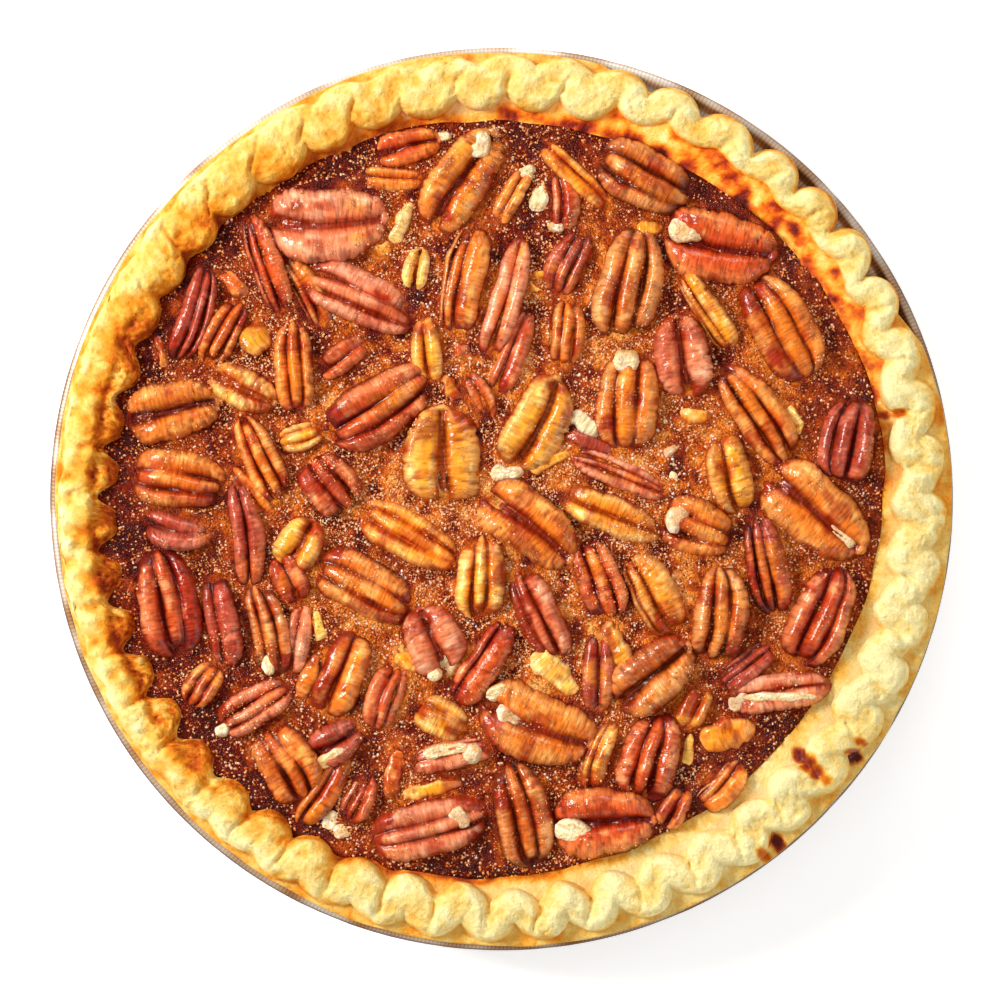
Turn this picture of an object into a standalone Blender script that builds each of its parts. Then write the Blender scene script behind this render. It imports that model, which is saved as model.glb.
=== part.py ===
"""Pecan pie baked in its aluminium foil tin.

From the table up there are four kinds of piece: the pressed foil tin, the pastry case
with its fluted rope edge, the baked filling, and the pecans that lie bedded in its top.
Every number below is in millimetres or degrees, and MM turns lengths into metres.
Azimuths run counter-clockwise from +X.
"""
import math

import bmesh
import bpy
from mathutils import Vector

MM = 0.001
GAP = 0.3  # clearance between pieces that touch

# Foil tin
RIM_RADIUS = 115.0
BEAD_RADIUS = 1.5
BASE_RADIUS = 82.0
MOUTH_RADIUS = 102.8
FLANGE_HEIGHT = 29.0
FOIL = 0.4
TIN_SEGMENTS = 72
BEAD_ANGLES = (172, 120, 60, 0, -60, -120, -172)

# Pastry case
FLUTES = 48
SAMPLES_PER_FLUTE = 4
FIRST_NOTCH = 97.5
FLUTE_DRIFT = 1.6  # the flutes bunch up by this many degrees on the side of DRIFT_AZIMUTH
DRIFT_AZIMUTH = 340.0
FLOOR_THICKNESS = 4.3
FLOOR_RADIUS = 76.5
CREST_SHARE = 0.45  # where the top of the rope lies across its width, from the inside
SHOULDER_SHARE = 0.14
SHOULDER_DROP = 2.0
ROPE_CREST = 37.8
ROPE_WAVER = 0.5
SEAT_RADIUS = 110.2  # the case rests on the flange out to here, inside the bead

# Filling
FILLING_EDGE_HEIGHT = 31.4
FILLING_CROWN = 0.9
FILLING_RINGS = ((88.0, 48), (60.0, 48), (30.0, 24))  # radius and points of each inner ring

# Pecans: a low dome, highest across the middle and grooved along its length
STATIONS = (-0.88, -0.5, 0.0, 0.5, 0.88)
PROFILES = {
    "back": ((-1.0, 0.0), (-0.7, 0.74), (-0.4, 0.5), (0.0, 1.0), (0.4, 0.5), (0.7, 0.74), (1.0, 0.0)),
    "face": ((-1.0, 0.0), (-0.52, 1.0), (0.0, 0.42), (0.52, 1.0), (1.0, 0.0)),
    "side": ((-1.0, 0.0), (-0.3, 1.0), (0.3, 0.55), (0.62, 0.75), (1.0, 0.0)),
}
SETTLE_ROUNDS = 60

# Where the larger pecans lie: kind, centre x and y, heading of the long axis, length, width.
# A back shows the rounded side, a face the cleft side, and a side lies on its edge.
PECANS = (
    ("face", -44.0, 71.0, 3, 30.0, 19.0),
    ("side", -59.5, 59.5, 110, 27.0, 8.5),
    ("back", -35.5, 50.8, -25, 29.0, 14.0),
    ("back", -79.9, 48.6, 72, 25.5, 8.8),
    ("back", -72.4, 42.2, 60, 18.0, 9.0),
    ("face", -9.5, 81.0, 57, 29.0, 15.0),
    ("back", 37.3, 81.5, -28, 26.0, 15.0),
    ("face", 55.5, 66.0, -13, 28.5, 18.0),
    ("side", 51.7, 48.0, 124, 24.0, 7.5),
    ("face", 46.3, 37.0, 98, 21.0, 14.0),
    ("back", 70.5, 43.5, 120, 29.0, 16.0),
    ("back", 31.8, 54.5, 78, 29.0, 16.0),
    ("side", -8.5, 55.5, 79, 29.0, 11.0),
    ("side", 0.5, 51.0, 74, 32.0, 8.5),
    ("back", -53.0, 33.4, 93, 23.5, 10.0),
    ("back", -31.0, 23.7, 33, 29.0, 16.0),
    ("face", -82.6, 22.8, 12, 24.0, 14.8),
    ("face", -66.2, 28.8, -25, 18.5, 10.5),
    ("back", -82.0, 5.0, -8, 24.0, 14.5),
    ("back", -85.0, -26.5, 101, 27.5, 16.0),
    ("side", -71.5, -30.5, 100, 24.0, 9.0),
    ("side", -65.7, -9.0, 98, 27.0, 8.5),
    ("back", -61.0, 10.0, 115, 23.5, 9.5),
    ("back", -43.7, 4.3, 130, 17.0, 14.0),
    ("back", -60.0, -33.5, 103, 24.0, 10.0),
    ("back", -34.2, -23.2, -27, 27.0, 14.5),
    ("face", -14.7, 11.3, 90, 24.5, 20.0),
    ("face", 8.5, 19.5, 63, 25.5, 15.0),
    ("back", 33.0, 25.0, 86, 25.0, 16.0),
    ("side", 30.0, 6.0, -22, 26.0, 7.5),
    ("side", 28.0, -4.0, -22, 27.0, 10.0),
    ("face", 6.5, -7.5, -38, 28.0, 16.0),
    ("back", -23.4, -9.2, -29, 26.5, 12.0),
    ("back", -5.5, -19.5, 85, 21.0, 12.5),
    ("side", 9.5, -29.0, 115, 25.0, 11.0),
    ("back", 25.0, -20.5, 111, 20.5, 11.5),
    ("side", 38.5, -24.3, 120, 22.5, 12.0),
    ("face", -17.6, -35.2, 115, 17.5, 15.0),
    ("back", 64.5, 21.5, 125, 28.5, 12.5),
    ("back", 88.2, 15.0, 78, 22.0, 14.0),
    ("side", 58.3, 6.5, 102, 20.5, 11.5),
    ("face", 80.0, -3.2, -40, 31.0, 17.5),
    ("side", 67.5, -16.5, 101, 26.0, 10.5),
    ("back", 49.0, -7.5, -20, 19.0, 14.0),
    ("back", 54.0, -29.5, 85, 24.5, 14.0),
    ("back", 80.5, -29.5, 67, 27.0, 14.5),
    ("back", -62.3, -52.9, 31, 20.5, 10.5),
    ("back", -55.2, -66.9, 122, 21.0, 15.0),
    ("side", -40.5, -44.5, 68, 23.0, 11.5),
    ("side", -5.0, -41.0, 57, 25.0, 9.5),
    ("face", 9.5, -56.5, -22, 30.0, 18.0),
    ("face", 39.0, -45.0, 40, 24.0, 15.5),
    ("back", 5.5, -80.0, 103, 26.5, 14.5),
    ("face", 26.7, -83.0, 3, 26.0, 17.0),
    ("back", -18.0, -83.2, 14, 30.0, 14.0),
    ("back", 37.0, -65.5, 75, 22.5, 15.0),
    ("side", 70.7, -49.0, 8, 26.0, 10.0),
)


def bump(azimuth, centre, half_width):
    """Smooth hill round the rim: 1 at centre, 0 from half_width degrees away."""
    offset = abs((azimuth - centre + 180.0) % 360.0 - 180.0)
    if offset >= half_width:
        return 0.0
    return 0.5 + 0.5 * math.cos(math.pi * offset / half_width)


def notch(azimuth):
    """1 where the rope edge is pinched outwards, 0 where a flute bulges inwards."""
    drift = FLUTE_DRIFT * (1.0 + math.cos(math.radians(azimuth - DRIFT_AZIMUTH)))
    return 0.5 + 0.5 * math.cos(math.radians((azimuth - FIRST_NOTCH + drift) * FLUTES))


def rope_inner(azimuth):
    """Inner radius of the rope: weak flutes at upper right, the deepest at lower left."""
    lobe = 99.5 + 5.0 * bump(azimuth, 32, 50) + bump(azimuth, 306, 60) - bump(azimuth, 220, 60)
    root = 105.5 - 1.5 * bump(azimuth, 200, 80)
    return lobe + (root - lobe) * notch(azimuth)


def rope_outer(azimuth):
    """Outer radius of the rope: lobed at the top, run together elsewhere."""
    root = 109.0 + 3.5 * bump(azimuth, 190, 80) + 4.0 * bump(azimuth, 310, 75)
    return root + (113.5 - root) * notch(azimuth)


def across_rope(azimuth, share):
    """Radius at a share of the rope's width, from its inner side."""
    inner = rope_inner(azimuth)
    return inner + share * (rope_outer(azimuth) - inner)


def clear_radius(azimuth):
    """Radius inside which the filling is free of the rope's flutes."""
    return 98.0 - 2.5 * bump(azimuth, 296, 55)


def wall_radius(azimuth):
    """Inner radius of the case at the filling's edge, which runs into the deep notches."""
    return clear_radius(azimuth) + 5.5 * notch(azimuth) * bump(azimuth, 190, 85)


def filling_top(radius):
    """Height of the filling, which is slightly crowned."""
    return FILLING_EDGE_HEIGHT + FILLING_CROWN * (1.0 - (radius / wall_radius(0.0)) ** 2)


def crest_height(azimuth):
    """Height of the rope, a little uneven as hand-pinched pastry is."""
    angle = math.radians(azimuth)
    return ROPE_CREST + ROPE_WAVER * (0.6 * math.sin(3 * angle + 1.0) + 0.4 * math.sin(7 * angle))


def shoulder_height(azimuth):
    """Height of the rope either side of its crest."""
    return crest_height(azimuth) - SHOULDER_DROP


def tin_wall_radius(height, clearance=0.0):
    """Radius of the tin's inner wall, less a clearance square to the wall."""
    slope = (MOUTH_RADIUS - BASE_RADIUS) / (FLANGE_HEIGHT - FOIL)
    return BASE_RADIUS + slope * (height - FOIL) - clearance * math.hypot(1.0, slope)


def make_material(name, colour, roughness, metallic=0.0):
    material = bpy.data.materials.new(name)
    material.use_nodes = True
    shader = material.node_tree.nodes["Principled BSDF"]
    shader.inputs["Base Color"].default_value = (*colour, 1.0)
    shader.inputs["Roughness"].default_value = roughness
    shader.inputs["Metallic"].default_value = metallic
    return material


def add_object(name, bm, material, smooth_angle=40.0):
    """Turn a bmesh in millimetres into an object in metres."""
    bmesh.ops.scale(bm, vec=(MM, MM, MM), verts=bm.verts)
    mesh = bpy.data.meshes.new(name)
    bm.to_mesh(mesh)
    bm.free()
    mesh.shade_smooth()
    mesh.set_sharp_from_angle(angle=math.radians(smooth_angle))
    mesh.materials.append(material)
    obj = bpy.data.objects.new(name, mesh)
    parts.objects.link(obj)
    return obj


def add_ring(bm, azimuths, radius, height):
    """Ring of vertices; radius and height are numbers or functions of the azimuth."""
    ring = []
    for azimuth in azimuths:
        r = radius(azimuth) if callable(radius) else radius
        z = height(azimuth) if callable(height) else height
        angle = math.radians(azimuth)
        ring.append(bm.verts.new((r * math.cos(angle), r * math.sin(angle), z)))
    return ring


def bridge(bm, fine, coarse):
    """Band of faces between two rings; the finer has a whole multiple of the other's points."""
    step = len(fine) // len(coarse)
    for i, vert in enumerate(coarse):
        following = coarse[(i + 1) % len(coarse)]
        span = [fine[(i * step + j) % len(fine)] for j in range(step + 1)]
        for a, b in zip(span[:-1], span[1:-1]):
            bm.faces.new((vert, a, b))
        bm.faces.new((vert, span[-2], span[-1], following))


def even_azimuths(count):
    return [360.0 * i / count for i in range(count)]


def finish_closed(bm):
    """Triangles facing outwards."""
    bmesh.ops.recalc_face_normals(bm, faces=bm.faces)
    bmesh.ops.triangulate(bm, faces=bm.faces)


def make_tin(material):
    """Pressed tin: flat base, sloping wall, level flange and rolled bead, turned in one."""
    bead_radius = RIM_RADIUS - BEAD_RADIUS
    bead_height = FLANGE_HEIGHT - FOIL / 2
    outline = [(0.0, FOIL), (BASE_RADIUS, FOIL), (MOUTH_RADIUS, FLANGE_HEIGHT)]
    for angle in BEAD_ANGLES:
        reach = math.cos(math.radians(angle)) * BEAD_RADIUS
        rise = math.sin(math.radians(angle)) * BEAD_RADIUS
        outline.append((bead_radius + reach, bead_height + rise))
    outline += [(MOUTH_RADIUS + FOIL, FLANGE_HEIGHT - FOIL), (BASE_RADIUS + FOIL, 0.0), (0.0, 0.0)]

    bm = bmesh.new()
    verts = [bm.verts.new((r, 0.0, z)) for r, z in outline]
    for a, b in zip(verts, verts[1:]):
        bm.edges.new((a, b))
    tin = add_object("tin", bm, material)
    screw = tin.modifiers.new("turn", "SCREW")
    screw.steps = TIN_SEGMENTS
    screw.render_steps = TIN_SEGMENTS
    screw.use_merge_vertices = True
    screw.merge_threshold = 0.00001


def make_crust(material):
    """Pastry case: follows the tin's wall, lies over its flange and rises into the rope."""
    underside = FOIL + GAP
    floor = underside + FLOOR_THICKNESS
    seat = FLANGE_HEIGHT + GAP
    facing = GAP + 0.1  # the tin's facets cut in a little between its corners
    azimuths = even_azimuths(FLUTES * SAMPLES_PER_FLUTE)

    bm = bmesh.new()
    rings = [
        add_ring(bm, azimuths, tin_wall_radius(underside, facing), underside),
        add_ring(bm, azimuths, tin_wall_radius(seat, facing), seat),
        add_ring(bm, azimuths, lambda a: min(rope_outer(a) - 1.5, SEAT_RADIUS), seat),
        add_ring(bm, azimuths, rope_outer, seat + 2.6),
        add_ring(bm, azimuths, lambda a: across_rope(a, 1.0 - SHOULDER_SHARE), shoulder_height),
        add_ring(bm, azimuths, lambda a: across_rope(a, CREST_SHARE), crest_height),
        add_ring(bm, azimuths, lambda a: across_rope(a, SHOULDER_SHARE), shoulder_height),
        add_ring(bm, azimuths, wall_radius, FILLING_EDGE_HEIGHT),
        add_ring(bm, azimuths, FLOOR_RADIUS, floor),
    ]
    for lower, upper in zip(rings, rings[1:]):
        bridge(bm, lower, upper)
    bm.faces.new(rings[0])
    bm.faces.new(rings[-1])
    finish_closed(bm)
    add_object("crust", bm, material)


def make_filling(material):
    """Baked custard and syrup: fills the case up to its crowned top."""
    floor = FOIL + GAP + FLOOR_THICKNESS + GAP
    azimuths = even_azimuths(FLUTES * SAMPLES_PER_FLUTE)

    bm = bmesh.new()
    bottom = add_ring(bm, azimuths, FLOOR_RADIUS - GAP, floor)
    edge = add_ring(bm, azimuths, lambda a: wall_radius(a) - 1.5 * GAP, FILLING_EDGE_HEIGHT)
    bridge(bm, bottom, edge)
    bm.faces.new(bottom)
    outer = edge
    for radius, count in FILLING_RINGS:
        inner = add_ring(bm, even_azimuths(count), radius, filling_top(radius))
        bridge(bm, outer, inner)
        outer = inner
    bm.faces.new(outer)
    finish_closed(bm)
    add_object("filling", bm, material)


def pecan_half_width(station):
    """Half-width along a pecan, as a share of the greatest: one end blunt, one pointed."""
    return (1.0 - abs(station) ** 2.6) ** 0.55 * (1.0 - 0.12 * station)


def pecan_footprint(length, width):
    """Outline of a pecan's underside, counter-clockwise, centred on the origin."""
    right = [(length / 2 * s, -width / 2 * pecan_half_width(s)) for s in STATIONS]
    left = [(x, -y) for x, y in reversed(right)]
    return [(-length / 2, 0.0), *right, (length / 2, 0.0), *left]


def placed_footprint(nut):
    """Outline of a pecan where it lies."""
    kind, x, y, heading, length, width = nut
    turn = math.radians(heading)
    cos, sin = math.cos(turn), math.sin(turn)
    points = pecan_footprint(length, width)
    return [Vector((x + cos * u - sin * v, y + sin * u + cos * v)) for u, v in points]


def separation(first, second):
    """Widest gap between two convex outlines and its direction; the gap is negative where they overlap."""
    best, direction = -math.inf, None
    for outline in (first, second):
        for a, b in zip(outline, outline[1:] + outline[:1]):
            normal = Vector((b.y - a.y, a.x - b.x)).normalized()
            other = second if outline is first else first
            gap = min(p.dot(normal) for p in other) - a.dot(normal)
            if gap > best:
                best = gap
                direction = normal if outline is first else -normal
    return best, direction


def settle(nuts):
    """Nudge the pecans until each lies clear of its neighbours and of the pastry."""
    nuts = [list(nut) for nut in nuts]
    for _ in range(SETTLE_ROUNDS):
        for i, nut in enumerate(nuts):
            for other in nuts[:i]:
                if math.hypot(nut[1] - other[1], nut[2] - other[2]) > (nut[4] + other[4]) / 2:
                    continue
                gap, direction = separation(placed_footprint(other), placed_footprint(nut))
                if gap < GAP:
                    push = direction * (GAP * 1.1 - gap) / 2
                    nut[1] += push.x
                    nut[2] += push.y
                    other[1] -= push.x
                    other[2] -= push.y
            farthest = max(placed_footprint(nut), key=lambda p: p.length)
            limit = clear_radius(math.degrees(math.atan2(farthest.y, farthest.x))) - 2 * GAP
            if farthest.length > limit:
                pull = farthest.normalized() * (farthest.length - limit)
                nut[1] -= pull.x
                nut[2] -= pull.y
    return nuts


def pecan_mesh(kind, length, width):
    """Half pecan, flat underneath, domed above with its grooves running end to end."""
    height = min(6.0, 2.4 + 0.24 * width)
    bm = bmesh.new()
    rows = []
    for s in STATIONS:
        half = width / 2 * pecan_half_width(s)
        rise = height * (1.0 - abs(s) ** 3) ** 0.5
        rows.append([bm.verts.new((length / 2 * s, half * u, rise * h)) for u, h in PROFILES[kind]])
    tail = bm.verts.new((-length / 2, 0.0, 0.0))
    tip = bm.verts.new((length / 2, 0.0, 0.0))
    for row, following in zip(rows, rows[1:]):
        for i in range(len(row) - 1):
            bm.faces.new((row[i], following[i], following[i + 1], row[i + 1]))
    for i in range(len(rows[0]) - 1):
        bm.faces.new((tail, rows[0][i], rows[0][i + 1]))
        bm.faces.new((tip, rows[-1][i + 1], rows[-1][i]))
    bm.faces.new([tail, *(row[-1] for row in rows), tip, *(row[0] for row in reversed(rows))])
    finish_closed(bm)
    return bm


def make_pecans(materials):
    """All the larger pecans, each bedded on the filling where it lies."""
    for number, nut in enumerate(settle(PECANS), 1):
        kind, x, y, heading, length, width = nut
        nearest = min(point.length for point in placed_footprint(nut))
        bm = pecan_mesh(kind, length, width)
        pecan = add_object(f"pecan_{kind}_{number:02d}", bm, materials[kind])
        pecan.location = (x * MM, y * MM, (filling_top(nearest) + GAP) * MM)
        pecan.rotation_euler.z = math.radians(heading)


for old in list(bpy.data.objects):
    bpy.data.objects.remove(old)
parts = bpy.data.collections.new("pecan_pie")
bpy.context.scene.collection.children.link(parts)

make_tin(make_material("foil", (0.72, 0.66, 0.60), 0.32, 1.0))
make_crust(make_material("pastry", (0.86, 0.62, 0.30), 0.75))
make_filling(make_material("filling", (0.20, 0.035, 0.012), 0.30))
make_pecans({
    "back": make_material("pecan_back", (0.60, 0.16, 0.035), 0.35),
    "face": make_material("pecan_face", (0.66, 0.20, 0.045), 0.38),
    "side": make_material("pecan_side", (0.52, 0.12, 0.04), 0.35),
})
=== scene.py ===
"""Looks of a pecan pie in its foil tin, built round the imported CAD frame.

Lengths are in millimetres in the frame's axes, with the pie's centre at x = y = 0, and MM turns
them into metres. Azimuths are degrees, counter-clockwise from +X. Colours are written as they
look on a screen, and linear() turns them into what a shader takes.
"""

import math

import bpy
import numpy as np
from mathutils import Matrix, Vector


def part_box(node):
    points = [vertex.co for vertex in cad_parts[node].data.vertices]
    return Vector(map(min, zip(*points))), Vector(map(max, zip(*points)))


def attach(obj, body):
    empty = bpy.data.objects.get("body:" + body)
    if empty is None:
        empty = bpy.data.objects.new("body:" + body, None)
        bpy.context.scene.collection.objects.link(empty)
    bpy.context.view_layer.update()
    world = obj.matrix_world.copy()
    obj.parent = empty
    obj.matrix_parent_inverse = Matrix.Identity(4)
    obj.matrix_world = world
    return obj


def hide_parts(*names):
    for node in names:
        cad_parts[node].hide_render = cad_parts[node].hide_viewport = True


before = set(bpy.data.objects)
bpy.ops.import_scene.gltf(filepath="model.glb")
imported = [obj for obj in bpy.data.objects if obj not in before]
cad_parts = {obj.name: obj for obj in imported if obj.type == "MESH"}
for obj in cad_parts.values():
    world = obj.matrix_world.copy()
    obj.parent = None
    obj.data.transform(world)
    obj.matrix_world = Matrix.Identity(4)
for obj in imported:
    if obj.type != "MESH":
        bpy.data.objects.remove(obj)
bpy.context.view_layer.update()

MM = 0.001

# The view, from straight above
VIEW_WIDTH = 254.7
CAMERA_HEIGHT = 1200.0
CAMERA_OFFSET = (-0.38, -0.25)
SENSOR = 36.0

# The floor is a light table, which thins the shadow on it; its width is in metres
FLOOR_WIDTH = 6.0
FLOOR_GLOW = 0.5

LAMP_COLOUR = (1.0, 0.985, 0.96)

# Foil tin
TIN_STEPS = 1440  # two for each crimp of the flange
TIN_CRIMP = 0.15
FOIL = 0.4
BASE_RADIUS = 82.0
MOUTH_RADIUS = 102.8
BEAD = 1.5
WALL_FLUTES = 72
# painted shade of the tin wall: lighter on its flute crests, darker in its flute hollows
WALL_FLUTE_SHADES = ((0.0, "#A6A4A2"), (1.0, "#7E7B78"))

# How dark the rim is, by azimuth: brown soiling, with painted shade towards the lower right, and the colours
# that it goes through
RIM_BROWN_AND_SHADE = (
    (0.0, 0.8),
    (30.0, 0.7),
    (60.0, 0.5),
    (90.0, 0.2),
    (130.0, 0.2),
    (165.0, 0.6),
    (200.0, 0.75),
    (250.0, 1.0),
    (300.0, 1.1),
)
FOIL_TINTS = ((0.0, "#ECEAE8"), (0.2, "#DCCAB4"), (0.6, "#A8703E"), (1.0, "#4E220C"))

# Pastry case: its flutes are those of the CAD case
CRUST_STEPS = 1440
WALL_RINGS = 10
ROPE_RINGS = 36
LEDGE_RINGS = 5
FLUTES = 48
FLUTE_PITCH = 13.7
FIRST_NOTCH = 97.5
FLUTE_DRIFT = 1.6
DRIFT_AZIMUTH = 340.0
PATH_SAMPLES = 45
ROPE_MIDDLE = 105.5
ROPE_LIMIT = 113.6
SEAT_RADIUS = 110.2
BRINK_RADIUS = 105.0
LEDGE_HEIGHT = 31.2
LIP_HEIGHT = 30.4
CASE_FLOOR = 5.0
CASE_FLOOR_RADIUS = 76.0

# Rope edge: azimuth, radius of its inner lobes, inner notches, outer notches and outer lobes,
# radius where the ledge ends, and slant
ROPE = (
    (0.0, 98.2, 103.4, 108.4, 113.3, 114.5, 2.4),
    (20.0, 99.8, 103.8, 107.8, 113.3, 114.1, 1.2),
    (33.0, 102.4, 103.8, 107.6, 113.4, 107.0, 0.4),
    (50.0, 102.2, 103.8, 107.6, 113.4, 107.0, 0.2),
    (66.0, 101.0, 104.2, 108.2, 113.4, 108.0, 0.0),
    (77.0, 98.8, 104.6, 110.2, 113.3, 113.3, 0.0),
    (97.0, 98.4, 104.6, 111.3, 113.4, 113.7, 0.0),
    (120.0, 98.0, 104.6, 112.0, 113.2, 113.6, 0.0),
    (150.0, 97.6, 104.4, 112.6, 113.0, 113.4, 0.0),
    (190.0, 97.0, 104.4, 112.4, 112.8, 113.1, 0.0),
    (220.0, 97.4, 104.2, 112.0, 112.8, 113.1, 0.0),
    (248.0, 97.8, 104.0, 110.0, 112.6, 113.3, 0.2),
    (275.0, 98.2, 104.0, 107.6, 112.8, 113.7, 0.4),
    (300.0, 98.0, 103.8, 107.6, 113.0, 114.1, 1.4),
    (330.0, 98.0, 103.6, 108.0, 113.2, 114.4, 2.6),
)

# Sides of the edge that are baked or pinched differently: middle azimuth and half-width
LEFT = (190, 85)
UPPER = (128, 65)
TOP = (90, 45)
RIGHT = (315, 80)
SYRUPY = (45, 60)
BEADED = (47, 34)

# Burnt or syrup-soaked spots: x, y, reach, browning
SCORCHES = (
    (76.0, -65.2, 3.4, 1.15),
    (77.8, -66.9, 3.6, 1.10),
    (79.8, -68.8, 3.4, 1.05),
    (82.2, -71.2, 2.9, 0.76),
    (70.0, -87.5, 3.3, 1.25),
    (66.5, -90.5, 2.6, 0.8),
    (89.6, -65.4, 3.3, 1.25),
    (91.0, -61.5, 2.4, 0.9),
    (97.0, 21.3, 2.6, 1.0),
    (100.5, 21.8, 2.2, 0.85),
    (60.0, 82.5, 2.2, 0.85),
    (76.0, 65.5, 2.2, 0.85),
    (86.0, 50.0, 2.2, 0.85),
    (-22.0, 106.0, 2.8, 0.45),
    (-64.0, 73.0, 5.0, 0.5),
    (-90.0, 40.0, 5.0, 0.55),
)

# Colours of the pastry by how far it is browned, from butter yellow to burnt; painted shade in its low parts
# and dents also moves it along them
BROWNING = (
    (-0.3, "#FFF8CC"),
    (0.0, "#FFEFAE"),
    (0.2, "#FBDB84"),
    (0.4, "#F7BE52"),
    (0.6, "#F0961E"),
    (0.8, "#D2640C"),
    (1.0, "#A43606"),
    (1.15, "#7C1E10"),
    (1.3, "#46100A"),
)
# painted shade of the pits between the rope and the filling, at the right and the top
PIT_SHADE = "#EEC694"
UNSEEN_PASTRY = "#E8C070"

# Filling
FILLING_GRID = 241
FILLING_REACH = 98.0
CROWN = 0.9
FILLING_FLOOR = 5.4
FILLING_TAPER = 0.78  # its floor's radius as a share of its top's
FILLING_TINTS = ((-0.2, "#3E0706"), (0.1, "#6A1608"), (0.4, "#A43E0E"), (0.7, "#D46E1A"), (1.0, "#EEA050"))
UNSEEN_FILLING = "#5A1A12"
BUBBLES = 12000
# colours of the set syrup bubbles; their pale pinkish-white end is painted highlight, standing in for glints
BUBBLE_TINTS_AND_GLINTS = ((0.0, "#7C200A"), (0.3, "#B84E16"), (0.55, "#E48A3C"), (0.8, "#F8BC88"), (1.1, "#FFE8D6"))
GRAINS = 18000
GRAIN_TINTS = ((0.0, "#CC6A1C"), (0.35, "#EE9A50"), (0.65, "#FABC80"), (0.9, "#FFD6AC"), (1.0, "#FFE8D0"))

# Nuts: points along a larger one, across its top and across its underside
NUT_ROWS = 58
NUT_TOP = 38
NUT_UNDER = 3
SWELL = 1.04  # the nuts touch where the CAD ones keep their clearance
SUNK = 1.2  # how far their undersides reach into the syrup
SYRUP_STAIN = "#9C260A"
SUGAR_DOT = (0.95, 0.52, 0.22, 1.0)
KERNEL_FLECK = (0.76, 0.46, 0.17, 1.0)
CRYSTAL_SHINE = (1.0, 0.74, 0.52, 1.0)

# Unevenness of a nut's skin: size of its lumps, how far they push the outline, their height
EVEN = (4.5, 0.08, 0.35)
RAGGED = (1.9, 0.34, 0.9)

# Tone of each larger nut, by its number
NUT_TONES = "prpmdobcgp" "obopordgdr" "mmorboggop" "gohgprgpom" "gomdbrpdor" "obbcprp"

# A nut's tone: its skin, the dark of its grooves, used as painted shade, and the pale of its margins, which
# is partly painted highlight
TONES = {
    "o": ("#E0741A", "#7A2006", "#FBB25C"),
    "r": ("#C44E1A", "#620F06", "#F49E66"),
    "p": ("#DA764A", "#86260C", "#FBB48C"),
    "m": ("#A43E28", "#4E0C08", "#E48C6C"),
    "d": ("#CA5E14", "#6A1806", "#F6A04A"),
    "g": ("#F09C24", "#983C06", "#FFD47C"),
    "h": ("#F28C18", "#A43E06", "#FFC062"),
    "b": ("#CC6E20", "#662006", "#F4B06A"),
    "c": ("#CA4A18", "#620D06", "#F89850"),
    "y": ("#F6BC50", "#B86C18", "#FFE498"),
    "k": ("#D8AC60", "#8A5820", "#F4DCA0"),
    "w": ("#FFE8B4", "#D09848", "#FFF8E0"),
}

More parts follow.
